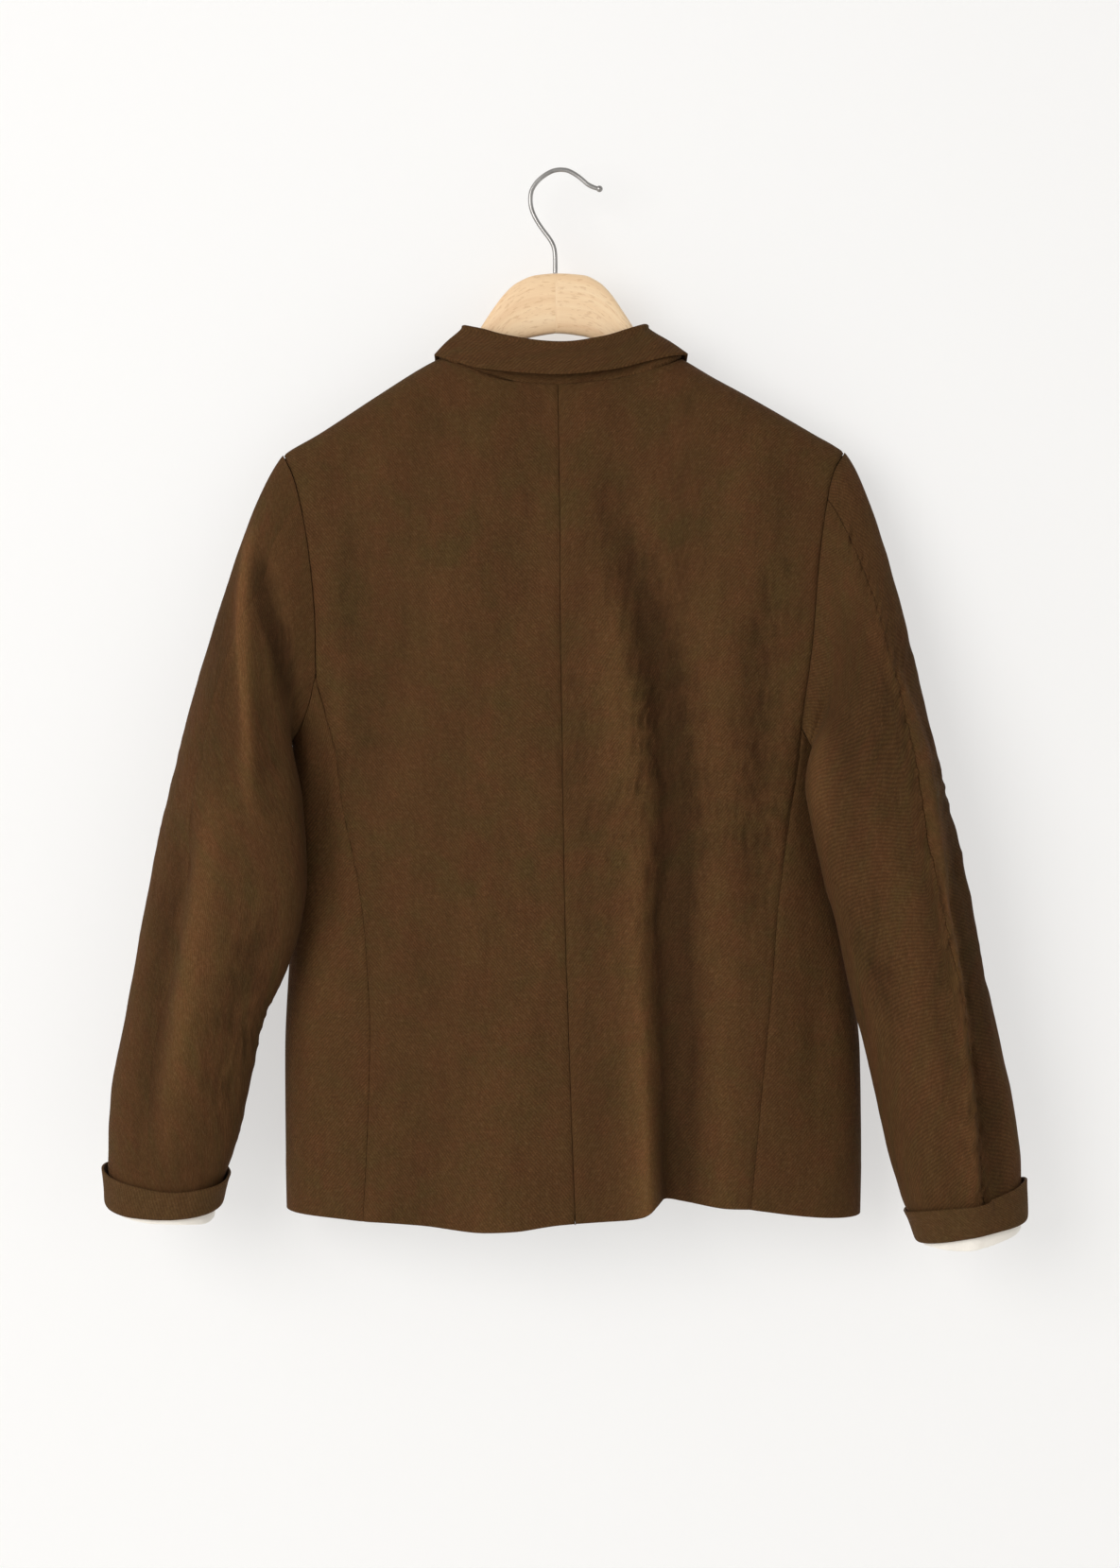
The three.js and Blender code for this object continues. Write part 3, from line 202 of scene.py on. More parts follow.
# Hanger: upper and lower edge and half thickness along its length.
HANGER = table("x top bottom half", """
    -203 -217.5 -222 1.2, -199 -213.4 -226 4.2, -192 -209.2 -227 5.4, -166.5 -193.2 -217 6,
    -133 -171.8 -197 6, -118 -162.8 -187 6, -106 -158 -179 6, -96.3 -158 -173 6, -86 -156 -166 6,
    -78 -148 -161 6, -72 -138 -156 6, -67 -127.5 -150 6, -61.7 -118.9 -145 6, -54.3 -107.6 -141 6,
    -45.4 -95.8 -136.5 6, -35.8 -87 -132.5 6, -19.6 -80.5 -128.4 6, -3.3 -79.2 -126.2 6, 16.6 -80.5 -128.4 6,
    29.5 -86.4 -132.5 6, 38.8 -95.8 -137 6, 46.9 -107.6 -142 6, 54.3 -118.9 -146 6, 60 -128 -151 6,
    66 -139 -156 6, 73 -148.5 -161 6, 82 -156 -167 6, 93.4 -158.5 -173 6, 104 -159 -179 6, 117 -163.4 -187 6,
    145.8 -178.9 -204 6, 171.6 -193.5 -219 6, 193 -205.8 -228 5.4, 200 -210.6 -226.5 4.2,
    204 -214.2 -221 1.2""")

# Centre line of the hook's wire.
HOOK = table("x z", """
    -5.2 -78.9, -5.2 -68, -5.9 -60.5, -7.6 -55.6, -10.2 -51.3, -14 -46.3, -18 -40.6, -21.4 -34.6,
    -23.7 -28.6, -24.6 -22.4, -24 -15.8, -21.6 -10.6, -17.8 -6, -13 -2.2, -7.6 .7, -3 1.75, 0 1.8, 4 1.3,
    8 -.4, 12.6 -3.3, 16.8 -6.7, 20.3 -9.7, 24.7 -11.9, 27.5 -12.7""")
BALL = dict(x=29.3, z=-13.1, radius=2.6)
BUTTON_LEVELS = [-236, -338, -440, -542, -644]


# Finer creases than the solids have, in the same form, as seen from behind.
BACK_FINE = folds("""
    -262 -167 0 10 12, -330 -160 .8 10 16, -428 -150 1 10 16, -470 -146 0 10 12;
    -208 32 0 14 14, -255 40 3 14 18, -300 50 3 10 18, -345 62 1 9 14, -420 78 0 9 14;
    -268 90 0 8 10, -310 94 2 7 10, -350 98 1.2 7 10, -392 100 0 8 10;
    -410 14 0 6 8, -470 17 .9 6 8, -545 20 .9 6 8, -620 21 0 6 8;
    -520 60 0 6 6, -600 62 -1.2 8 8, -700 64 -1.6 8 7, -830 70 -1.2 8 7;
    -560 104 0 12 14, -640 103 1.6 12 14, -720 106 1.4 12 14, -830 110 .8 12 14;
    -500 -100 0 26 26, -600 -98 1.4 26 26, -700 -100 1.6 26 26, -830 -104 1.8 26 26;
    -430 -190 0 7 9, -470 -189 2.6 7 10, -540 -184 2.4 7 10, -600 -176 0 7 9;
    -620 190 0 10 12, -665 194 1.6 8 12, -700 190 0 10 12""")
BACK_PULLS = table(PULL, """
    -183 -524 -158 -532 1.3 3.2 1, -180 -544 -152 -548 1.2 3 -1, -184 -562 -156 -572 1.1 3.4 1,
    -188 -500 -163 -512 1 3.4 1, 168 -300 186 -322 1.2 4 1, 140 -355 158 -384 1.4 4.6 2,
    148 -446 164 -470 1.3 4 -2, 144 -508 162 -530 1.4 4 1, 156 -492 178 -508 1.2 3.2 1,
    -206 -262 -186 -302 1.2 4.2 2, -201 -330 -180 -362 1 4 -2, 190 -330 176 -372 1 4 2,
    30 -175 58 -214 1.2 6 3, -36 -176 -62 -206 .9 7 -3, 86 -164 106 -196 1 5 2, -92 -166 -112 -198 1 5 -2,
    -24 -640 -8 -700 .8 6 2, 186 -655 204 -690 1 5 2""")
FRONT_FINE = folds("""
    -240 120 0 14 16, -330 128 2 12 16, -440 132 1.6 12 16, -520 134 0 12 16;
    -250 -116 0 14 14, -360 -128 2.2 14 12, -470 -134 1.4 14 12, -560 -136 0 14 12;
    -430 48 0 10 14, -560 56 1.6 10 14, -700 60 2.2 10 14, -830 64 2.4 12 14;
    -450 -50 0 12 12, -600 -60 1.6 12 12, -830 -66 2.6 14 12""")
FRONT_PULLS = table(PULL, """
    24 -338 62 -322 1.1 4.5 2, 24 -440 60 -452 1 4.5 -2, 24 -542 58 -532 1 4.5 2, -24 -236 -58 -226 1.1 5 2,
    -24 -440 -62 -454 .9 4.5 2, -24 -644 -58 -652 .9 4.5 2, 182 -300 160 -336 1.3 4.6 2,
    -182 -312 -158 -350 1.3 4.6 -2, 172 -440 150 -470 1.1 4 2, -172 -452 -150 -486 1.1 4 -2""")
SLEEVE_FINE = dict(
    left=folds("""
        -265 -240 0 4 7, -295 -244 -3.2 4 8, -336 -248 -4 4 9, -358 -247 -4 4 9, -389 -242 -3.6 5 9,
        -449 -238 -3 5 9, -487 -237 -2.6 5 9, -506 -232 -1.6 5 9, -535 -226 0 6 8;
        -290 -234 0 6 7, -330 -232 3.6 7 8, -370 -220 5 7 8, -398 -213 3.6 6 7, -425 -207 0 5 6;
        -470 -262 0 8 12, -520 -270 -2 7 13, -600 -280 -2.2 7 14, -690 -292 -2.4 6 14, -740 -299 -1 7 12,
        -775 -302 0 7 12;
        -500 -280 0 10 8, -560 -290 2.4 12 8, -660 -305 2.6 12 8, -740 -317 1.6 12 8, -790 -322 0 12 8"""),
    right=folds("""
        -290 234 0 5 6, -340 242 -1.8 6 5, -384 252 -2.6 7 5, -416 267 -3 8 4, -472 281 -3.6 9 4,
        -532 286 -3.8 10 4, -580 294 -4 10 4, -620 301 -4 10 4, -655 305 -3.8 10 4, -726 311 -3.4 10 4,
        -780 313 -2.2 9 4, -818 316 0 7 5;
        -330 300 0 4 4, -380 305 1 3.5 4, -450 313 1.2 3.5 4, -500 318 0 4 4;
        -425 190 0 8 12, -450 192 -6 10 14, -480 192 -6 10 14, -520 196 -2 10 12, -545 198 0 8 10;
        -350 290 0 4 4, -400 294 .9 3.5 3.5, -470 303 0 4 4"""),
)
SLEEVE_PULLS = dict(
    left=table(PULL, """
        -212 -590 -240 -606 1.4 4 2, -216 -618 -246 -640 1.6 4 2, -226 -646 -254 -672 1.5 4 -2,
        -236 -690 -262 -712 1.2 4 2, -258 -330 -280 -392 1.2 7 3, -268 -420 -292 -480 1.2 8 3,
        -206 -452 -236 -470 1.4 5 2, -204 -484 -232 -512 1.2 5 -2, -258 -756 -300 -768 1 5 2,
        -222 -262 -232 -300 1.2 4.5 2"""),
    right=table(PULL, """
        246 -360 262 -392 1.2 4 2, 256 -424 280 -440 1.4 4 1, 262 -476 284 -486 1.3 4 -1,
        264 -520 286 -530 1.3 4 1, 272 -566 292 -580 1.2 4 1, 280 -622 302 -634 1.2 4 -1,
        286 -680 308 -696 1.1 4 1, 218 -560 244 -584 1.3 5 2, 228 -604 254 -630 1.3 5 -2,
        212 -470 240 -492 1.2 5 2, 296 -748 320 -762 1 5 2, 228 -262 236 -306 1.2 4.5 -2"""),
)
# Creases on the side of each sleeve that faces the front, similar to those behind.
SLEEVE_FORE = dict(
    left=folds("""
        -280 -236 0 9 14, -370 -246 3.4 10 16, -470 -262 2.6 10 16, -540 -272 0 10 14;
        -360 -212 0 9 12, -430 -214 3 10 12, -500 -216 0 10 12;
        -520 -250 0 12 14, -600 -262 3.2 10 14, -700 -280 2.6 10 14, -770 -290 0 12 14;
        -540 -300 0 10 10, -640 -318 -2 10 12, -760 -330 0 10 10"""),
    right=folds("""
        -290 240 0 12 10, -380 252 3.2 14 10, -480 268 2.4 14 10, -560 276 0 12 10;
        -370 216 0 12 10, -440 216 3 12 10, -510 222 0 12 10;
        -540 256 0 14 10, -620 268 3 14 10, -720 288 2.4 14 10, -790 300 0 12 10"""),
)
# Where the cloth is rumpled finely: middle in X and Z, reach in X and Z, height.
BACK_RUMPLED = table(SPOT, """
    56 -330 26 70 .45, 80 -450 32 90 .6, 78 -600 28 90 .35, 160 -350 18 60 .4, 150 -490 20 60 .4,
    192 -690 20 70 .35, -164 -330 16 80 .12, -186 -520 20 60 .4, 20 -480 16 90 .2, 0 -480 260 400 .07""")
FRONT_RUMPLED = table(SPOT, """
    96 -420 24 90 .4, -96 -520 24 110 .4, 160 -340 18 60 .35, -160 -340 18 60 .35, 0 -480 260 400 .08""")
SLEEVE_RUMPLED = dict(
    left=table(SPOT, """
        -222 -370 18 50 .35, -238 -620 16 70 .4, -252 -700 18 60 .3, -292 -560 20 100 .2,
        -270 -600 90 240 .08"""),
    right=table(SPOT, """
        258 -400 18 70 .4, 298 -430 16 100 .5, 296 -580 18 110 .5, 314 -720 16 90 .4, 236 -620 16 60 .35,
        270 -600 90 240 .08"""),
)
# Painted light (negative, lighter) along crests and over some shaded stretches, and painted shade (positive)
# along hollows, only in the cloth's colour.
BACK_PAINTED_LIGHT = folds("""
    -290 52 0 8 12, -350 66 2.6 10 14, -435 82 5 14 16, -516 88 5.6 14 16, -600 86 5.2 12 16,
    -700 90 3.6 9 16, -830 90 2.8 9 16;
    -400 60 0 10 8, -520 62 -1.2 10 8, -700 66 -1.6 12 7, -830 68 -1.8 12 7;
    -330 170 0 12 14, -400 152 .8 12 14, -520 150 .8 12 12, -580 148 0 12 12;
    -220 -30 0 60 40, -400 -40 -.8 50 34, -700 -44 -.9 46 34, -830 -44 -.9 46 34""")
SIDE_PAINTED_LIGHT = folds("""
    -500 -196 0 30 30, -600 -196 -3.4 30 30, -690 -192 -1.5 30 30, -835 -190 -.6 30 30""")
SLEEVE_PAINTED_LIGHT = dict(
    left=folds("""
        -275 -241 0 3 5, -300 -246 -8 3 6, -350 -248 -11 3 7, -390 -245 -11 3 7, -430 -241 -9 3 6,
        -465 -238 -4.5 4 6, -515 -231 0 4 5;
        -285 -258 0 8 6, -340 -264 2.6 12 9, -420 -262 2.6 14 12, -510 -262 0 12 12;
        -315 -233 0 6 6, -345 -226 2.5 7 8, -370 -219 4 7 8, -395 -212 3.5 6 7, -420 -206 0 5 6;
        -470 -264 0 10 12, -560 -275 -1.8 8 12, -660 -292 -1.8 8 12, -720 -299 0 8 10;
        -500 -282 0 10 8, -600 -300 1.6 10 9, -700 -314 1.4 10 9, -780 -320 0 10 9;
        -430 -202 0 6 8, -460 -200 3.5 7 10, -560 -196 3 7 10, -610 -206 2 7 10, -640 -216 0 7 8"""),
    right=folds("""
        -330 246 0 6 4, -416 266 -1.6 6 3, -500 282 -1.8 7 3, -620 300 -2.4 8 3, -726 310 -2.2 8 3,
        -800 314 0 8 3;
        -420 282 0 6 14, -500 296 1.6 6 16, -600 310 3.2 6 16, -726 324 3.4 6 16, -822 330 2 6 16;
        -380 240 0 12 12, -430 242 2.6 12 14, -480 246 0 12 12;
        -560 216 0 8 8, -600 222 1.6 8 8, -660 232 0 8 8"""),
)
SIDES = ("left", "right")


# ---- curves through tables ----

def column(rows, key, name):
    """A smooth curve without overshoot through one column of a table, read along another."""
    order = np.argsort(rows[key])
    xs, ys = rows[key][order], rows[name][order]
    step = np.diff(xs)
    rise = np.diff(ys) / step
    slopes = np.empty(len(xs))
    slopes[0], slopes[-1] = rise[0], rise[-1]
    for i in range(1, len(xs) - 1):
        before, after = rise[i - 1], rise[i]
        if before * after <= 0:
            slopes[i] = 0
            continue
        heavy, light = 2 * step[i] + step[i - 1], step[i] + 2 * step[i - 1]
        slopes[i] = (heavy + light) / (heavy / before + light / after)

    def read(x):
        x = np.clip(np.asarray(x, float), xs[0], xs[-1])
        i = np.clip(np.searchsorted(xs, x, side="right") - 1, 0, len(xs) - 2)
        h = step[i]
        t = (x - xs[i]) / h
        u = 1 - t
        low = (1 + 2 * t) * u * u * ys[i] + t * u * u * h * slopes[i]
        return low + t * t * (3 - 2 * t) * ys[i + 1] - t * t * u * h * slopes[i + 1]

    return read


def columns(rows, key):
    read = {name: column(rows, key, name) for name in rows if name != key}
    return lambda x: {name: f(x) for name, f in read.items()}


def smooth(x, a, b):
    t = np.clip((np.asarray(x, float) - a) / (b - a), 0, 1)
    return t * t * (3 - 2 * t)


def mix(a, b, t):
    return a + (b - a) * t


def unit(v):
    return v / np.maximum(np.linalg.norm(v, axis=-1, keepdims=True), 1e-9)


def vec(*parts):
    return np.stack(np.broadcast_arrays(*[np.asarray(p, float) for p in parts]), axis=-1)


def steps(count):
    return np.linspace(0, 1, count)


def circle(count):
    return 2 * np.pi * steps(count + 1)[:-1]


def run_of(path):
    """How far along a path each of its points lies."""
    return np.concatenate([[0], np.cumsum(np.linalg.norm(np.diff(path, axis=0), axis=1))])


def creases(folds):
    """Depth of the long folds at (x, z): a soft trough of its own reach to either side."""
    made = [(columns(rows, "z"), rows["z"].min(), rows["z"].max()) for rows in folds]

    def depth(x, z):
        total = np.zeros(np.broadcast(x, z).shape)
        for at, low, high in made:
            row = at(z)
            off = (x - row["x"]) / np.where(x < row["x"], row["west"], row["east"])
            total = total + np.where((z > low) & (z < high), row["depth"] * np.exp(-off * off), 0)
        return total

    return depth


def pulls(rows):
    """Short creases between two points, deepest in their middle and tapering to both ends."""
    def depth(x, z):
        total = np.zeros(np.broadcast(x, z).shape)
        for i in range(len(rows["x1"])):
            a = np.array([rows["x1"][i], rows["z1"][i]])
            b = np.array([rows["x2"][i], rows["z2"][i]])
            size = np.linalg.norm(b - a)
            d = (b - a) / size
            along = (x - a[0]) * d[0] + (z - a[1]) * d[1]
            bow = rows["bow"][i] * np.sin(np.pi * np.clip(along / size, 0, 1))
            off = (x - a[0]) * -d[1] + (z - a[1]) * d[0] - bow
            taper = np.sin(np.pi * np.clip(along / size, 0, 1)) ** 1.3
            total = total + rows["depth"][i] * taper * np.exp(-((off / rows["half"][i]) ** 2))
        return total

    return depth


def uneven(x, z, seed):
    """Slow waviness of hung cloth, from a few crossed waves."""
    rng = np.random.default_rng(seed)
    total = np.zeros(np.broadcast(x, z).shape)
    for length, high in ((150, 0.55), (96, 0.4), (61, 0.26), (38, 0.14), (23, 0.07)):
        for _ in range(3):
            angle = rng.uniform(0, 2 * math.pi)
            phase = rng.uniform(0, 2 * math.pi)
            way = 2 * math.pi / length * rng.uniform(0.8, 1.2)
            tall = way * (math.cos(angle) * x * 1.35 + math.sin(angle) * z * 0.7)
            total = total + high * np.sin(tall + phase)
    return total


def rumpled(rows, seed):
    """Fine, mostly upright wrinkles of cloth that has seen long use, strongest round listed spots."""
    rng = np.random.default_rng(seed)
    waves = [
        (2 * math.pi / rng.uniform(8.5, 19), rng.uniform(-0.4, 0.4), rng.uniform(0, 6.28)) for _ in range(12)
    ]
    spots = list(zip(*rows.values()))

    def depth(x, z):
        bend = 3 * np.sin(z / 17 + x / 40) + 2 * np.sin(z / 33 - x / 21)
        total = sum(np.sin(way * (x + tilt * z + bend) + phase) for way, tilt, phase in waves) / 2.4
        total = np.abs(total + 0.4) - 0.9
        reach = sum(
            high * np.exp(-((x - at) / wide) ** 2 - ((z - level) / tall) ** 2)
            for at, level, wide, tall, high in spots
        )
        return 1.7 * total * reach

    return depth


section = columns(SECTION, "z")
sleeve_seam = columns(SLEEVE_SEAM, "v")
collar_at = columns(COLLAR, "s")
hanger_at = columns(HANGER, "x")
shoulder_z = column(SHOULDER, "x", "z")
neck_z = dict(back=column(BACK_NECKLINE, "x", "z"), front=column(FRONT_NECKLINE, "x", "z"))
back_hem_z = column(BACK_HEM, "x", "z")
centre_x = column(CENTRE_BACK, "z", "x")
sleeve_at = {side: columns(SLEEVE[side], "z") for side in SIDES}

FACING = dict(back=-1, front=1)
SEAMS = dict(back=BACK_SEAM, front=FRONT_SEAM)
seam_x = {(face, side): column(SEAMS[face][side], "z", "x") for face in FACING for side in SIDES}
CREASED = dict(
    back=(creases(BACK_FOLDS), creases(BACK_FINE), pulls(BACK_PULLS)),
    front=(creases(FRONT_FOLDS), creases(FRONT_FINE), pulls(FRONT_PULLS)),
)
WAVES = dict(back=(0.8, 3), front=(0.7, 8))  # height and seed of the slow waviness
RUMPLED = dict(back=rumpled(BACK_RUMPLED, 5), front=rumpled(FRONT_RUMPLED, 6))
SLEEVE_CREASED = {
    side: (creases(SLEEVE_FOLDS[side]), creases(SLEEVE_FINE[side]), pulls(SLEEVE_PULLS[side]))
    for side in SIDES
}
sleeve_fore = {side: creases(SLEEVE_FORE[side]) for side in SIDES}
sleeve_rumpled = {side: rumpled(SLEEVE_RUMPLED[side], 7) for side in SIDES}
# Readers of the painted light and shade tables above.
back_painted_light, side_painted_light = creases(BACK_PAINTED_LIGHT), creases(SIDE_PAINTED_LIGHT)
sleeve_painted_light = {side: creases(SLEEVE_PAINTED_LIGHT[side]) for side in SIDES}


# ---- the body ----

def hand_of(side):
    return -1 if side == "left" else 1


def fullness(x, z):
    """Share of the section's depth at (x, z): 1 in the middle, 0 at the side line and on the ridge."""
    row = section(z)
    half = (row["right"] - row["left"]) / 2
    off = np.minimum(1, np.abs(x - (row["left"] + row["right"]) / 2) / half)
    across = (1 - off ** SECTION_POWER) ** (1 / SECTION_POWER)
    under = np.clip((shoulder_z(x) - z) / RIDGE_RADIUS, 0, 1)
    return across * np.sqrt(1 - (1 - under) ** 2)


def depth(face, x, z):
    """How far folds and waviness take the back or the front in from its plain section."""
    high, seed = WAVES[face]
    waves = high * uneven(x, z, seed) + RUMPLED[face](x, z)
    return sum(made(x, z) for made in CREASED[face]) + waves * smooth(shoulder_z(x) - z, 4, 60)


def skin_y(face, x, z):
    row, full, facing = section(z), fullness(x, z), FACING[face]
    plain = row["side"] + facing * (SEAM + row[face] * full)
    return plain - facing * depth(face, x, z) * np.minimum(1, full * EDGE_EASE)


def side_point(side, u, z):
    """A side body between its seams, running round the outside of the section at height z."""
    u, z = np.broadcast_arrays(np.asarray(u, float), np.asarray(z, float))
    shape = u.shape
    u, z = u.ravel(), z.ravel()
    row = section(z)
    hand = hand_of(side)
    middle = (row["left"] + row["right"]) / 2
    half = (row["right"] - row["left"]) / 2
    power = SECTION_POWER / 2
    count = 48

    def turn_at(face):
        x = (seam_x[face, side](z) + hand * SEAM * 1.6 - middle) / (hand * half)
        return FACING[face] * np.arccos(np.minimum(1, x) ** power)

    start, end = turn_at("back"), turn_at("front")
    turn = mix(start[:, None], end[:, None], steps(count + 1)[None, :])
    wide = np.cos(turn) ** (1 / power)
    full = np.abs(np.sin(turn)) ** (1 / power)
    x = middle[:, None] + hand * half[:, None] * wide
    zz = np.broadcast_to(z[:, None], x.shape)
    ease = np.minimum(1, full * EDGE_EASE)
    hind, fore = (
        row["side"][:, None] + FACING[face] * (row[face][:, None] * full - depth(face, x, zz) * ease)
        for face in FACING
    )
    y = np.where(turn < 0, hind, fore)
    gaps = np.hypot(np.diff(x, axis=1), np.diff(y, axis=1))
    lengths = np.concatenate([np.zeros((len(z), 1)), np.cumsum(gaps, axis=1)], axis=1)
    want = u * lengths[:, -1]
    k = np.clip((lengths < want[:, None]).sum(axis=1) - 1, 0, count - 1)
    i = np.arange(len(z))
    t = (want - lengths[i, k]) / gaps[i, k]
    points = vec(mix(x[i, k], x[i, k + 1], t), mix(y[i, k], y[i, k + 1], t), z)
    return points.reshape(shape + (3,))


def side_level(side, u, v):
    """Height of a side body's row v, from its hem to the armhole."""
    ends, level = HEM_ENDS[side], JUNCTION[side]
    back = mix(ends["back"], level["back"], v)
    front = mix(ends["front"], level["front"], v)
    bow = np.sin(np.pi * np.clip(u, 0, 1))
    dip = (level["back"] + level["front"]) / 2 - level["low"]
    sag = (ends["back"] + ends["front"]) / 2 - ends["low"]
    return mix(back, front, u) - dip * bow ** 0.8 * v ** 4 - sag * bow * (1 - v) ** 4


def blend(bottom, top, inner, outer, u, v):
    """Four edges blended into a patch over X and Z."""
    made = []
    for i in (0, 1):
        one = (1 - v) * bottom(u)[i] + v * top(u)[i] + (1 - u) * inner(v)[i] + u * outer(v)[i]
        one = one - (1 - u) * (1 - v) * bottom(0.0)[i] - u * (1 - v) * bottom(1.0)[i]
        one = one - (1 - u) * v * top(0.0)[i] - u * v * top(1.0)[i]
        made.append(one)
    return made


def panel_point(face, side, u, v):
    """A back or front panel between its hem, side seam, top and middle edge."""
    hand, tip = hand_of(side), TIP[side]
    tip_z, hem_end_z = shoulder_z(tip), HEM_ENDS[side][face]
    back, seam = face == "back", seam_x[face, side]
    hem_start_z = CENTRE_HEM_Z if back else hem_end_z
    top_start_z = CENTRE_NECK_Z if back else float(neck_z[face](-hand * FRONT_EDGE))

    def middle_x(z):
        return centre_x(z) + hand * SEAM if back else -hand * FRONT_EDGE + 0 * np.asarray(z, float)

    def bottom(s):
        x = mix(middle_x(hem_start_z), seam(hem_end_z), s)
        if not back:
            return x, hem_end_z + 0 * x
        s = np.asarray(s)
        return x, np.where(s == 0, hem_start_z, np.where(s == 1, hem_end_z, back_hem_z(x)))

    def top(s):
        x = mix(middle_x(top_start_z), tip, s)
        z = np.where(hand * x < abs(NECK[side]), neck_z[face](x), shoulder_z(x))
        return x, np.where(np.asarray(s) == 0, top_start_z, z)

    def inner(s):
        z = mix(hem_start_z, top_start_z, s)
        return middle_x(z), z

    def outer(s):
        z = mix(hem_end_z, tip_z, s)
        return seam(z), z

    x, z = blend(bottom, top, inner, outer, u, v)
    under = UNDERLAP * smooth(x, -46, -22) if (face, side) == ("front", "left") else 0
    return vec(x, skin_y(face, x, z) - under, z)


# ---- the sleeves ----

def near(turns, middle, reach):
    """A soft peak round one turn."""
    return np.exp(-((((turns - middle + 0.5) % 1) - 0.5) / reach) ** 2)


def armhole(side):
    """Down the back seam edge, round under the arm and up the front edge, read by turn."""
    hand, level = hand_of(side), JUNCTION[side]
    tip_z = shoulder_z(TIP[side])
    rise = 1 - (1 - steps(41)) ** 1.9

    def edge(face):
        z = mix(level[face], tip_z, rise)
        x = seam_x[face, side](z)
        return vec(x, skin_y(face, x, z), z)

    u = steps(25)[1:-1]
    under = side_point(side, u, side_level(side, u, 1.0))
    path = np.concatenate([edge("back")[::-1], under, edge("front")])
    lowest = int(path[:, 2].argmin())
    lengths = run_of(path)
    half, whole = lengths[lowest], lengths[-1]
    centre = path.mean(axis=0)

    def read(t):
        turn = np.asarray(t, float) - np.floor(t)
        want = np.where(turn < 0.5, half * turn * 2, half + (whole - half) * (turn * 2 - 1))
        return np.stack([np.interp(want, lengths, path[:, k]) for k in range(3)], axis=-1)

    def normal(t):
        along = unit(read(t + 0.01) - read(t - 0.01))
        skin = unit(np.cross(along, np.array([hand, 0.0, 0.0])))
        away = unit(read(t) - centre)
        sign = np.where((skin * away).sum(-1, keepdims=True) < 0, -1, 1)
        return skin * sign

    return read, normal


ARMHOLE = {side: armhole(side) for side in SIDES}


def ring_point(side, t, z, tilt):
    """A level of the hanging sleeve: turn 0 outer edge, 0.25 back, 0.5 inner edge, 0.75 front."""
    row, wrist = sleeve_at[side](z), WRIST[side]
    turn = t - np.floor(t)
    angle = 2 * np.pi * turn + 0.75 * np.sin(np.pi * turn) * (1 - smooth(-z, 520, 700))
    middle, half = (row["outer"] + row["inner"]) / 2, (row["outer"] - row["inner"]) / 2
    x = middle + half * np.cos(angle)
    y = row["mid"] - row["deep"] * np.sin(angle) - row["turn"] * np.cos(angle)
    lift = wrist["slope"] * (x - middle) + wrist["sag"] * (y - row["mid"])
    return vec(x, y, z + tilt * lift)


def axis_of(side, z):
    row = sleeve_at[side](z)
    return (row["outer"] + row["inner"]) / 2, row["mid"]


def creased(side, p, axis, amount):
    """Points of a sleeve moved in by its folds, towards its axis."""
    out = unit(vec(p[..., 0] - axis[0], p[..., 1] - axis[1], 0))
    x, z = p[..., 0], p[..., 2]
    hind = np.maximum(0, -out[..., 1]) ** 0.6
    fore = np.maximum(0, out[..., 1]) ** 0.6
    deep = sum(made(x, z) for made in SLEEVE_CREASED[side]) * hind
    deep = deep + sleeve_fore[side](x, z) * fore + sleeve_rumpled[side](x, z)
    girth = np.arctan2(out[..., 1], out[..., 0]) * 60
    wave = 0.75 * uneven(60 * np.cos(girth / 60) + x * 0.2, z + 30 * np.sin(girth / 60), 17 + hand_of(side))
    return p - out * ((deep + wave) * amount)[..., None]


def leave_step(side, t):
    """The way that points from the armhole's edge into the sleeve."""
    read, normal = ARMHOLE[side]
    along = unit(read(t + 0.01) - read(t - 0.01))
    away = unit(np.cross(along, normal(t)))
    sign = np.where(away[..., :1] * hand_of(side) < 0, -1, 1)
    return away * sign


def sleeve_point(side, t, v):
    """v 0 to 1 runs from the armhole over the cap, 1 to 2 down to the wrist."""
    t, v = np.broadcast_arrays(np.asarray(t, float), np.asarray(v, float))
    hand, wrist = hand_of(side), WRIST[side]
    z = mix(CAP_END, wrist["z"], np.maximum(v, 1) - 1)
    hang = creased(side, ring_point(side, t, z, smooth(-z, 660, 800)), axis_of(side, z), 1.0)
    turn = 2 * np.pi * t
    out = hand * (0.8 - 0.05 * np.cos(turn))
    leave = unit(vec(out, -0.42 * np.sin(turn), -0.65 - 0.25 * np.cos(turn)))
    start = ARMHOLE[side][0](t) + leave_step(side, t) * ARMHOLE_GAP
    end = ring_point(side, t, np.full(t.shape, float(CAP_END)), 0)
    below = ring_point(side, t, np.full(t.shape, CAP_END - 10.0), 0)
    arrive = unit(below - end)
    span = np.linalg.norm(end - start, axis=-1)
    pull = (span * (0.9 - 0.35 * np.cos(turn)))[..., None]
    w = np.minimum(v, 1)
    r = 1 - w
    w3, r3 = w[..., None], r[..., None]
    p = (1 + 2 * w3) * r3 * r3 * start + w3 * r3 * r3 * pull * leave
    p = p + w3 * w3 * (3 - 2 * w3) * end - w3 * w3 * r3 * pull * arrive
    if side == "right":
        bow = np.sin(np.pi * np.clip(w / UNDERARM["end"], 0, 1))
        over = near(t, UNDERARM["turn"], UNDERARM["reach"]) * bow
        roll = UNDERARM["out"] * ARMHOLE[side][1](t) - UNDERARM["back"] * leave_step(side, t)
        p = p + roll * over[..., None]
    low = axis_of(side, np.full(t.shape, float(CAP_END)))
    axis = (mix(TIP[side] - hand * 20, low[0], w), mix(-3, low[1], w))
    cap = creased(side, p, axis, smooth(w, 0, 0.25))
    return np.where((v > 1)[..., None], hang, cap)


